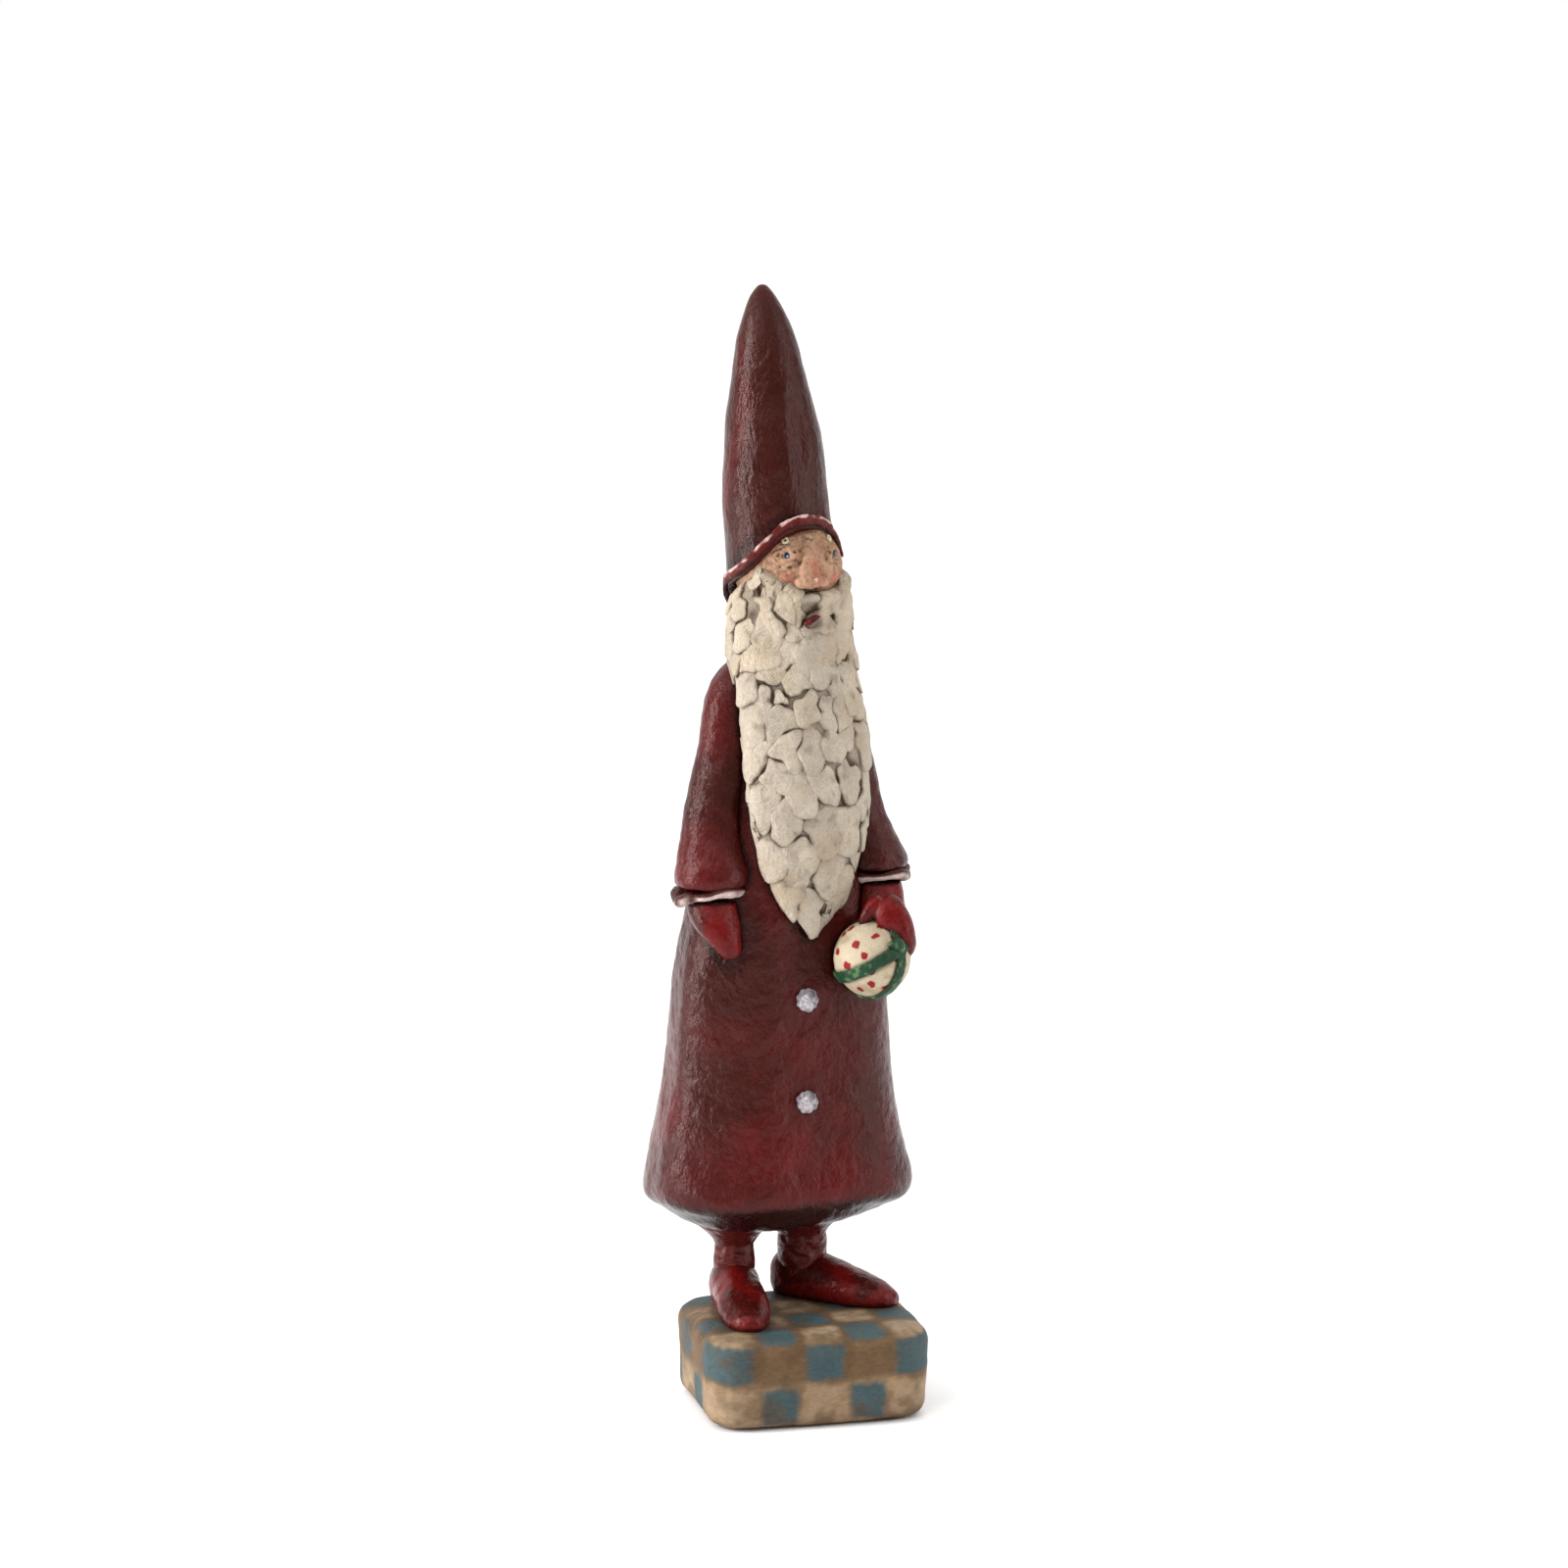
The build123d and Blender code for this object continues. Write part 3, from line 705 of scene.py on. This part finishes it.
face = casting("head", 0.22, 5, *lumps)
slim(face.points)
tuck(face.points, 10.4, -0.9, 0.5)
around_eyes = np.zeros(len(face.points))
for side in ("right", "left"):
    gap = np.linalg.norm(face.points - middle(f"eye_{side}"), axis=1)
    face.push(-0.5 * step(1.1, 0.4, gap))
    around_eyes = np.maximum(around_eyes, step(4.6, 1.6, gap))
front = step(2.0, -3.0, face.points[:, 1] - head_centre[1])
wrinkles = 1.0 - 3.0 * np.abs(noise(face.points, 1.7, 26, 2))
face.push(front * ((0.06 + 0.13 * around_eyes) * wrinkles + 0.06 * noise(face.points, 0.8, 27)))
hollow = face.hollow(1)
colours = all_over(colour(162, 126, 100), face.points)
colours = blend(colours, colour(172, 138, 112), step(0.0, -0.35, hollow) * 0.7)
colours = blend(colours, colour(128, 92, 66), step(0.0, 0.8, noise(face.points, 3.0, 126, 3)) * 0.6)
for way in (-1, 1):
    cheek = np.linalg.norm(face.points - (head_centre + (way * 6.0, -10.2, -1.8)), axis=1)
    rosy = step(3.2, 0.4, cheek + noise(face.points, 1.2, 28))
    colours = blend(colours, colour(182, 98, 82), rosy * 0.55)
redness = np.linalg.norm((face.points - nose_tip - (1.2, 0, 2.2)) / (0.8, 1.0, 1.9), axis=1)
redness += 0.7 * noise(face.points, 1.0, 29, 2)
colours = blend(colours, colour(168, 66, 50), step(3.2, 0.9, redness) * 0.42)
# painted highlight: a pale dab on the tip of the nose
nose_highlight = np.linalg.norm((face.points - nose_tip - (0.4, -1.8, 0.5)) / (1.0, 1.0, 1.6), axis=1)
nose_highlight += 0.2 * noise(face.points, 0.5, 129)
colours = blend(colours, colour(230, 206, 194), step(0.85, 0.45, nose_highlight) * 0.8)
# painted shadow on the face where the hat's brim overhangs it
brim_shadow = step(0.8, 0.0, distance_to(tree_of("hat_brim"), face.points, 0.9))
cracked = step(-0.2, 0.5, noise(face.points, 4.0, 133, 2))
cracks = step(0.2, 0.0, np.abs(noise(face.points, 3.0, 132, 3))) * cracked
lines = step(0.15, 0.7, hollow) * (0.5 + 0.45 * around_eyes) + 0.75 * cracks
face.paint(colours, lines + 0.6 * brim_shadow)
face.finish(skin_material, "skin", "head", "nose")

for side in ("right", "left"):
    centre = middle(f"eye_{side}")
    out, sideways, up = axes_at(centre)
    eye = skin(f"eye_{side}_casting", [blob(centre - out * 0.2, (1.15, 1.15, 0.8), out)], 0.07, 2)
    slim(eye.points)
    centre = eye.points.mean(axis=0) + out * 0.2
    local = eye.points - centre
    across = local @ sideways - 0.18
    above = local @ up - 0.1
    gap = np.hypot(across, above) + 0.08 * noise(eye.points, 0.4, 130)
    # painted shade: the left eye's white is painted far darker than the right's
    eye_white_left_in_shade = {"right": colour(176, 172, 160), "left": colour(92, 86, 80)}[side]
    colours = blend(all_over(eye_white_left_in_shade, gap), colour(46, 60, 82), step(0.8, 0.64, gap))
    colours = blend(colours, colour(20, 22, 34), step(0.46, 0.36, gap))
    # painted shadow of the upper lid across the top of the eye
    colours = blend(colours, colour(24, 20, 22), step(0.2, 0.5, above))
    glint = np.hypot(across + 0.25, above + 0.2)
    eye.paint(blend(colours, colour(210, 214, 220), step(0.2, 0.1, glint)), np.zeros(len(gap)))
    eye.finish(trim_material, "white_paint", f"eye_{side}")

    centre = middle(f"brow_{side}")
    out, sideways, up = axes_at(centre)
    beads = []
    for turn in full_turn(12):
        bead = centre + out * 0.05 + 0.6 * (math.cos(turn) * sideways + math.sin(turn) * up)
        beads.append(blob(bead, (0.32, 0.32, 0.32)))
    brow = skin(f"brow_{side}_casting", beads, 0.08, 3)
    slim(brow.points)
    brow.knead((0.08, 0.6, 131))
    brow.paint(all_over(colour(200, 186, 156), brow.points), 0.5 * step(0.1, 0.5, brow.hollow(2)))
    brow.finish(trim_material, "white_paint", f"brow_{side}")

lip_centre = middle("lip")
LIP_TILT = math.radians(28)
lip_along = math.cos(LIP_TILT) * SCREEN_RIGHT + math.sin(LIP_TILT) * UP
lip_lumps = []
for share in np.linspace(-1, 1, 7):
    thick = 0.75 * math.sqrt(1.05 - share**2)
    lip_lumps.append(blob(lip_centre + 1.9 * share * lip_along + 1.1 * SCREEN_NEAR, (thick, 1.0, thick)))
lip = skin("lip_casting", lip_lumps, 0.12, 4)
lip.knead((0.12, 0.9, 30))
worn = step(0.0, 0.6, noise(lip.points, 1.2, 31))
colours = blend(all_over(colour(84, 26, 26), lip.points), DARK_RED, worn)
lip.paint(colours, np.zeros(len(lip.points)))
lip.finish(trim_material, "lip_paint", "lip")

# ---- hat and brim
hat = casting("hat", 0.4, 12)
settle(hat.points)
turn = bearings(hat.points)
above = hat.points[:, 2] - hat_low[2] - 40
fold = np.hypot((turn + 8 + 0.6 * above) / 22, above / 13)
hat.push(-0.7 * step(1.3, 0.0, fold))
brushed = 0.05 * noise(hat.points * (1, 1, 0.5), 1.3, 34)
hat.push(0.24 * noise(hat.points, 11.0, 32) + 0.1 * noise(hat.points, 4.0, 33) + brushed)
patches = step(-0.3, 0.7, noise(hat.points * (1, 1, 0.5), 9.0, 35, 2))
colours = blend(all_over(colour(52, 18, 13), hat.points), colour(70, 15, 11), patches)
# dark wash and painted shade where the hat meets the brim
hat.paint(colours, 0.7 * step(1.0, 0.0, distance_to(tree_of("hat_brim"), hat.points, 1.1)))
hat.finish(hat_material, "red_hat", "hat")

brim = casting("hat_brim", 0.2, 8)
height = (brim.points - brim_middle) @ BRIM_UP
ragged = noise(brim.points, 2.0, 38, 3)
brim.points -= BRIM_UP * (0.25 * height)[:, None]
settle(brim.points)
brim.knead((0.2, 2.4, 36, 2), (0.08, 0.9, 136), base=0.1)
# darker red rubbed into the brim's paint
rubbed_and_sheen = step(-0.2, 0.6, noise(brim.points, 3.0, 37))
colours = blend(all_over(colour(84, 16, 14), brim.points), DARK_RED, rubbed_and_sheen)
band = step(0.15, 0.5, height + 0.4 * ragged) * step(-0.5, 0.1, noise(brim.points, 3.0, 137, 2))
# painted shade on the underside of the brim's roll
brim.paint(blend(colours, colour(206, 170, 162), band * 0.9), 0.6 * step(-0.3, -0.9, height))
brim.finish(trim_material, "red_hat", "hat_brim")

# ---- beard
beard_high = box("beard")[1]
FACE_RIGHT, FACE_LEFT = 61.0, 84.0
HAIR_RADIUS = 11.7


def face_edge(points):
    """How far inside the bare face each point is, in millimetres; below 0 outside it."""
    turn = bearings(points)
    limit = np.where(turn > 0, FACE_LEFT, FACE_RIGHT)
    level = head_centre[2] - 3.8 + np.where(turn > 0, 4.0, 5.2) * (turn / limit) ** 2
    return np.minimum(points[:, 2] - level, (limit - np.abs(turn)) * 0.21)


moustache = []
for way in (-1, 1):
    for share in np.linspace(0, 1, 6):
        centre = head_centre + (way * (0.8 + 7.0 * share), -12.2 + 2.6 * share**2, -5.6 - 3.6 * share**1.5)
        moustache.append(blob(centre, (1.7, 1.6 - 0.5 * share, 1.5)))
    for share in np.linspace(0, 1, 7):
        turn = math.radians(way * (66 - 44 * share))
        drop = 0.4 + 4.4 * share + (1.6 if way > 0 else 0.0)
        side_hair = (HAIR_RADIUS * math.sin(turn), -HAIR_RADIUS * math.cos(turn), -drop)
        moustache.append(blob(head_centre + side_hair, (1.7, 1.7, 2.2 - 0.5 * share)))
core = skin("beard_core", ["beard", *moustache], 0.45, 9)
top = step(-4.0, -1.5, face_edge(core.points))
core.push(0.25 * noise(core.points, 7.0, 139) + 0.14 * noise(core.points, 2.0, 40, 2) - 0.55 + 0.6 * top)
tuck(core.points)
core.write()
core.mesh.calc_loop_triangles()
ground = BVHTree.FromPolygons(core.points.tolist(), [list(face.vertices) for face in core.mesh.polygons])
corners = [Vector(point) for point in core.points]
triangles = [[corners[index] for index in face.vertices] for face in core.mesh.loop_triangles]
covers = tree_of("coat", "sleeve_right", "sleeve_left")
random = np.random.default_rng(20)
areas = np.array([(b - a).cross(c - a).length / 2 for a, b, c in triangles])
chosen = random.choice(len(triangles), size=7000, p=areas / areas.sum())
TALL = np.array((1.0, 1.0, 0.72))
seeds = []
for index in chosen:
    a, b, c = triangles[index]
    first, second = sorted(random.random(2))
    spot = a * first + b * (second - first) + c * (1 - second)
    normal = (b - a).cross(c - a).normalized()
    if covers.ray_cast(spot + normal * 0.05, normal, 1.2)[0] is not None or abs(normal.z) > 0.8:
        continue
    spot = np.array(spot)
    if face_edge(spot[None])[0] > 0.3 or under_hat(spot[None])[0] > -0.6:
        continue
    gap = 4.9 if spot[2] < beard_high[2] - 36 else 3.3
    if all(np.linalg.norm((spot - other[0]) * TALL) > gap for other in seeds):
        seeds.append((spot, np.array(normal)))
places = np.array([spot for spot, _ in seeds])
weights = random.normal(0, 3.0, len(places))

SPOKES = 60
REACH = np.arange(0.4, 7.0, 0.14)
SHARES = (0.0, 0.25, 0.5, 0.72, 1.0, 1.0, 1.0, 1.0, 1.0, 0.9)
INSETS = (0.0, 0.0, 0.0, 0.0, 0.55, 0.28, 0.1, 0.0, 0.0, 0.0)
HEIGHTS = (1.0, 1.0, 1.0, 1.0, 0.96, 0.84, 0.55, 0.1, -1.0, -1.3)
STAINS = (0.0, 0.0, 0.0, 0.0, 0.05, 0.22, 0.6, 1.0, 1.0, 1.0)


def crack(points):
    """Where flakes part: 0 where they are pressed together and 1 where a dark gap is left."""
    return step(-0.45, 0.6, noise(points, 4.2, 144, 2))


def outline(index, down, sideways):
    """How far a flake reaches along each spoke: half way to its neighbours, on a wandering line."""
    near = np.flatnonzero(np.linalg.norm(places - places[index], axis=1) < 15.0)
    angles = full_turn(SPOKES)
    rays = np.cos(angles)[:, None] * down + np.sin(angles)[:, None] * sideways
    points = (places[index] + rays[:, None] * REACH[None, :, None]).reshape(-1, 3)
    bent = points + 1.3 * np.column_stack([noise(points, 3.2, seed, 3) for seed in (141, 142, 143)])
    away = (((bent[:, None] - places[near]) * TALL) ** 2).sum(axis=2) - weights[near]
    own = (near[np.argmin(away, axis=1)] == index).reshape(SPOKES, -1)
    count = np.where(own.all(axis=1), len(REACH), np.argmin(own, axis=1))
    reach = REACH[np.clip(count - 1, 0, None)]
    reach = (np.roll(reach, 1) + 2 * reach + np.roll(reach, -1)) / 4
    ends = places[index] + rays * reach[:, None]
    return np.maximum(reach + 0.75 - 1.0 * crack(ends), 0.3)


def flake(index):
    """One pressed flake of clay on the beard: its points, faces, stain and ridges."""
    spot, normal = seeds[index]
    down = unit(-UP + normal * normal[2])
    sideways = np.cross(down, normal)
    reach = outline(index, down, sideways)
    thick = random.uniform(0.45, 1.05)
    lean = random.uniform(0.03, 0.15) * random.choice((1, 1, 1, -0.5))
    roll = random.normal(0, 0.07)
    distance, first, second = random.uniform(4, 12), random.uniform(0, 6.3), random.uniform(0, 6.3)
    centre = spot + distance * (math.cos(first) * down + math.sin(second) * sideways)
    angles = full_turn(SPOKES)
    lengths = np.maximum(reach * np.array(SHARES)[:, None] - np.array(INSETS)[:, None], 0.0)
    along = lengths * np.cos(angles)
    across = lengths * np.sin(angles)
    places_over = spot + down * along[:, :, None] + sideways * across[:, :, None]
    laid = np.empty(places_over.shape)
    for spoke in np.ndindex(*lengths.shape):
        place = places_over[spoke]
        hit = ground.ray_cast(Vector(place + normal * 3.0), Vector(-normal), 6.0)
        if hit[0] is None:
            hit = ground.find_nearest(Vector(place))
        laid[spoke] = hit[0]
    for _ in range(2):
        laid = (np.roll(laid, 1, axis=1) + 2 * laid + np.roll(laid, -1, axis=1)) / 4
    height = np.array(HEIGHTS)[:, None]
    above = thick * height + (lean * along + roll * across) * (height > -0.5)
    points = (laid + normal * above[:, :, None]).reshape(-1, 3)
    darkening = np.repeat(STAINS, SPOKES)
    relief = 0.16 * noise(points, 2.4, 50, 2) + 0.07 * noise(points, 0.9, 51)
    points += normal * (relief * (darkening < 0.9))[:, None]
    tuck(points)
    buried = step(-0.2, 1.2, face_edge(points))[:, None]
    inside = unit(points - head_centre) * (head_radius - 1.0) + head_centre
    points = points * (1 - buried) + inside * buried
    ridges = np.linalg.norm(points - centre, axis=1) * 2 * math.pi / random.uniform(0.45, 0.6)
    ridges = ridges * (random.random() < 0.2)
    broken = step(0.05, 0.5, crack(points))
    faces = []
    for ring in range(len(SHARES) - 1):
        for side in range(SPOKES):
            a, b = ring * SPOKES + side, ring * SPOKES + (side + 1) % SPOKES
            faces.append((a, b, b + SPOKES, a + SPOKES) if ring else (a, b + SPOKES, a + SPOKES))
    return points, faces, darkening * (0.12 + 0.88 * broken), ridges


blocks = []
flake_faces = []
tones = []
for index in range(len(places)):
    block = flake(index)
    first = sum(len(other[0]) for other in blocks)
    flake_faces.extend([[first + corner for corner in face] for face in block[1]])
    tones.append(np.full(len(block[0]), random.normal(0, 1)))
    blocks.append(block)
flakes_mesh = bpy.data.meshes.new("beard_flakes")
flakes_mesh.from_pydata((np.vstack([block[0] for block in blocks]) * MM).tolist(), [], flake_faces)
tidy = bmesh.new()
tidy.from_mesh(flakes_mesh)
bmesh.ops.recalc_face_normals(tidy, faces=tidy.faces)
tidy.to_mesh(flakes_mesh)
tidy.free()
beard = Clay("beard_flakes", flakes_mesh)
tone = np.concatenate(tones)
colours = all_over(CREAM, tone) * (1 + 0.045 * tone)[:, None]
glaze = step(0.0, 0.9, noise(beard.points, 7.0, 146, 3))
glaze = np.maximum(glaze, 0.7 * step(beard_high[2] - 26, beard_high[2] - 10, beard.points[:, 2]))
colours = blend(colours, colour(168, 148, 120), glaze * 0.5)
darkening = np.concatenate([block[2] for block in blocks])
mouth = np.linalg.norm(beard.points - lip_centre, axis=1)
darkening += 0.35 * step(0.35, 0.9, noise(beard.points, 2.2, 147, 3)) + 0.3 * step(3.0, 1.6, mouth)
beard.paint(colours, darkening, np.concatenate([block[3] for block in blocks]))
beard.finish(beard_material, "beard_clay", "beard")
deep = step(0.5, -0.5, noise(core.points, 2.4, 41)) * (1 - top)
furrows = step(0.1, 0.7, core.hollow(1)) * top
colours = blend(all_over(CREAM * 0.9, core.points), UMBER, deep)
core.paint(colours, (0.35 + 0.4 * deep) * (1 - top) + 0.8 * furrows)
core.finish(beard_material, "beard_clay", "beard")

# ---- legs, socks and boots
for side in ("right", "left"):
    leg_low = box(f"leg_{side}")[0]
    x, y, _ = middle(f"leg_{side}")
    ankle = {"right": 4.0, "left": 5.0}[side]
    flare = []
    for share in np.linspace(0, 1.6, 14):
        spread = ankle + 4.8 * min(share, 1) ** 2 + 2.0 * max(share - 1, 0)
        flare.append((x, y, leg_low[2] - 4.1 + 6.8 * share, spread, spread * 0.95))
    leg = casting(f"leg_{side}", 0.3, 8, turned(flare))
    leg.knead((0.2, 3.5, 60), (0.1, 1.3, 61))
    # painted shade on the leg just under the coat's hem, added to the wash in its hollows
    shade = step(4.5, 0.5, hem - leg.points[:, 2])
    darkening = 0.5 * step(0.0, 0.4, leg.hollow()) + 0.45 * shade
    leg.paint(all_over(colour(72, 20, 16), leg.points), darkening)
    leg.finish(boot_material, "red_boot", f"leg_{side}")

    sock = casting(f"sock_{side}", 0.22, 5)
    around = sock.points - middle(f"sock_{side}")
    crumple = 1.0 - 2.6 * np.abs(noise(sock.points * (0.8, 0.8, 1.2), 2.6, 62, 2))
    facing = step(0.0, -3.0, around @ -SCREEN_NEAR)
    sock.push(0.4 * step(1.0, -3.0, around[:, 2]) - 0.12 + 0.2 * crumple * facing)
    hollow = sock.hollow(3)
    # painted highlight: lighter red on the raised crumples of the sock
    rubbed_and_sheen = step(0.0, -0.3, hollow) * 0.3
    colours = blend(all_over(colour(76, 20, 17), sock.points), colour(110, 50, 46), rubbed_and_sheen)
    sock.paint(colours, 0.5 * step(0.1, 0.5, hollow))
    sock.finish(boot_material, "red_boot", f"sock_{side}")

    boot = casting(f"boot_{side}", 0.3, 10)
    boot.knead((0.2, 4.0, 63), (0.08, 1.4, 64), base=0.4)
    patches = step(-0.3, 0.6, noise(boot.points, 5.0, 65, 2))
    colours = blend(all_over(colour(96, 15, 13), boot.points), colour(62, 14, 11), patches)
    above = boot.points[:, 2] - box("plinth")[1][2]
    rub = step(0.1, 0.6, noise(boot.points, 0.9, 66, 2)) * step(9.0, 3.0, above)
    colours = blend(colours, colour(150, 70, 66), rub * 0.12)
    sole = step(1.6, 0.2, above)
    boot.paint(colours, 0.7 * sole)
    boot.finish(boot_material, "red_boot", f"boot_{side}")

# ---- plinth
plinth = casting("plinth", 0.42, 10)
plinth.knead((0.35, 12.0, 70), (0.12, 3.5, 71), (0.05, 1.3, 72))
plinth_low, plinth_high = box("plinth")
plinth.points[:, 2] = np.clip(plinth.points[:, 2], plinth_low[2], None)
normals = plinth.normals()
cos, sin = math.cos(PLINTH_TURN), math.sin(PLINTH_TURN)
wander = np.column_stack([noise(plinth.points, 4.0, seed, 2) for seed in (73, 74, 75)])
warped = plinth.points + 0.55 * wander


def along_block(rows):
    """Points or directions, along the turned block's own axes."""
    wide = cos * rows[:, 0] + sin * rows[:, 1]
    return np.column_stack([wide, -sin * rows[:, 0] + cos * rows[:, 1], rows[:, 2]])


ahead = along_block(warped)
facing = along_block(normals)
COLUMNS, ROWS, TIERS = 5, 4, 2
CHECK_SIZE = 9.8
half_x, half_y = 24.9, 21.0
cells = np.column_stack(
    [
        (ahead[:, 0] + half_x) / (2 * half_x) * COLUMNS,
        (ahead[:, 1] + half_y) / (2 * half_y) * ROWS,
        (ahead[:, 2] - plinth_low[2]) / (plinth_high[2] - plinth_low[2]) * TIERS,
    ]
)
cells = np.clip(cells, 0.001, np.array([COLUMNS, ROWS, TIERS]) - 0.001)
whole = np.floor(cells).astype(int)
edge = np.minimum(cells - whole, 1 - (cells - whole)) * CHECK_SIZE
ragged = 0.4 * noise(plinth.points, 2.2, 77, 3)
on_front = (np.abs(facing[:, 1]) + 0.2 * ragged > np.abs(facing[:, 0]))[:, None]
dirty = step(0.0, 0.8, noise(plinth.points, 7.0, 78, 3)) * 0.6


def checks(first, second, base, pale):
    """Soft-edged squares, dabbed by hand where two ways round the block cross."""
    soft = step(-0.3, 2.3, edge[:, first] + ragged) * step(-0.3, 2.3, edge[:, second] - ragged)
    odd = (whole[:, first] + whole[:, second]) % 2
    field = blend(base, colour(88, 66, 44), dirty)
    field = blend(field, pale, np.clip(soft * (odd == 0) * (0.8 + ragged), 0, 1))
    return blend(field, colour(58, 80, 84), np.clip(1.25 * soft * (odd == 1), 0, 0.97))


upper = step(0.85, 1.15, cells[:, 2] + 0.1 * ragged)
side_base = blend(all_over(colour(146, 120, 92), cells), CHECK_BROWN, upper)
side_pale = blend(all_over(CHECK_CREAM, cells), colour(104, 82, 58), upper)
top_base = all_over(CHECK_BROWN, cells)
colours = np.where(on_front, checks(0, 2, side_base, side_pale), checks(1, 2, side_base, side_pale))
upward = step(0.5, 0.75, facing[:, 2] + 0.15 * ragged)
colours = blend(colours, checks(0, 1, top_base, CHECK_CREAM), upward)
# dark wash and painted shade round where the boots stand on the plinth
boot_wash_and_shade = step(2.6, 0.0, distance_to(tree_of("boot_right", "boot_left"), plinth.points, 2.7))
edges = np.clip(-plinth.hollow(14) * 3.0, 0, 1)
dirt = 0.5 * step(0.1, 0.8, noise(plinth.points, 5.0, 76, 3)) + 0.5 * boot_wash_and_shade + 0.3 * edges
colours = blend(colours, colour(84, 62, 40), np.clip(dirt, 0, 0.75))
bottom = step(2.5, 0.0, plinth.points[:, 2] - plinth_low[2])
plinth.paint(colours, 0.3 * bottom + 0.5 * np.clip(plinth.hollow(), 0, 1) + 0.3 * boot_wash_and_shade)
plinth.finish(plinth_material, "plinth_paint", "plinth")

# ---- what is carried over from the CAD
felt = plain_material("felt", colour(60, 52, 44), 0.85, 0.5, 0.1)
steel = plain_material("steel", colour(180, 180, 184), 0.35, 0.3, 0.02, metal=1.0)
carried = {"plinth_pad": felt, "leg_rod_right": steel, "leg_rod_left": steel, "neck_rod": steel}
for node, material in carried.items():
    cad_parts[node].data.materials.clear()
    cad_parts[node].data.materials.append(material)

# ---- floor, light and camera
floor_mesh = bpy.data.meshes.new("floor")
floor_mesh.from_pydata([(-30, -30, 0), (30, -30, 0), (30, 30, 0), (-30, 30, 0)], [], [(0, 1, 2, 3)])
floor = bpy.data.objects.new("floor", floor_mesh)
bpy.context.scene.collection.objects.link(floor)
floor_nodes = Nodes("floor")
floor_colour = floor_nodes.mix(floor_nodes.noise(9.0), colour(248, 248, 248), colour(252, 252, 252))
floor_nodes.link(floor_colour, floor_nodes.shader.inputs["Base Color"])
floor_nodes.shader.inputs["Roughness"].default_value = 0.9
floor_nodes.shader.inputs["Specular IOR Level"].default_value = 0.1
floor_mesh.materials.append(floor_nodes.material)

CAMERA_DISTANCE = 0.98
CAMERA_HEIGHT = 0.305
CAMERA_SIDE = -0.0039
CAMERA_PITCH = math.radians(9.6)
CAMERA_LENS = 105.0
camera_data = bpy.data.cameras.new("camera")
camera_data.lens = CAMERA_LENS
camera = bpy.data.objects.new("camera", camera_data)
camera.location = SCREEN_NEAR * CAMERA_DISTANCE + SCREEN_RIGHT * CAMERA_SIDE + UP * CAMERA_HEIGHT
camera.rotation_euler = (math.radians(90) - CAMERA_PITCH, 0, CAMERA_AZIMUTH)
bpy.context.scene.collection.objects.link(camera)
bpy.context.scene.camera = camera


def softbox(name, azimuth, elevation, distance, width, height, power):
    """A soft area light, placed round the figure from the camera's side and aimed at its middle."""
    target = Vector((0, 0, 0.13))
    turn = CAMERA_AZIMUTH + math.radians(azimuth)
    tilt = math.radians(elevation)
    way = Vector((math.sin(turn) * math.cos(tilt), -math.cos(turn) * math.cos(tilt), math.sin(tilt)))
    data = bpy.data.lights.new(name, "AREA")
    data.shape = "RECTANGLE"
    data.size = width
    data.size_y = height
    data.energy = power
    light = bpy.data.objects.new(name, data)
    light.location = target + way * distance
    light.rotation_euler = (-way).to_track_quat("-Z", "Y").to_euler()
    bpy.context.scene.collection.objects.link(light)


softbox("left_strip", -74, 14, 1.1, 0.13, 0.9, 15.0)
softbox("right_wall", 74, 14, 1.1, 0.35, 0.9, 4.5)
softbox("front_top", -28, 40, 1.2, 0.28, 0.28, 1.9)

world = bpy.data.worlds.new("world")
world.use_nodes = True
sky = world.node_tree
way = sky.nodes.new("ShaderNodeTexCoord").outputs["Generated"]


def lit_along(direction, low, high, amount):
    """Light from one part of the studio: amount along the direction, and nothing below low."""
    share = sky.nodes.new("ShaderNodeVectorMath")
    share.operation = "DOT_PRODUCT"
    sky.links.new(way, share.inputs[0])
    share.inputs[1].default_value = tuple(direction)
    ramp = sky.nodes.new("ShaderNodeMapRange")
    ramp.interpolation_type = "SMOOTHSTEP"
    sky.links.new(share.outputs["Value"], ramp.inputs["Value"])
    for name, number in (("From Min", low), ("From Max", high), ("To Min", 0.0), ("To Max", amount)):
        ramp.inputs[name].default_value = number
    return ramp.outputs["Result"]


overhead = lit_along(UP, 0.1, 0.9, 1.15)
behind = lit_along(-SCREEN_NEAR, 0.1, 0.8, 0.86)
total = sky.nodes.new("ShaderNodeMath")
sky.links.new(overhead, total.inputs[0])
sky.links.new(behind, total.inputs[1])
with_base = sky.nodes.new("ShaderNodeMath")
sky.links.new(total.outputs[0], with_base.inputs[0])
with_base.inputs[1].default_value = 0.14
sky.links.new(with_base.outputs[0], sky.nodes["Background"].inputs["Strength"])
sky.nodes["Background"].inputs["Color"].default_value = (1, 1, 1, 1)
bpy.context.scene.world = world
bpy.context.scene.view_settings.view_transform = "Standard"
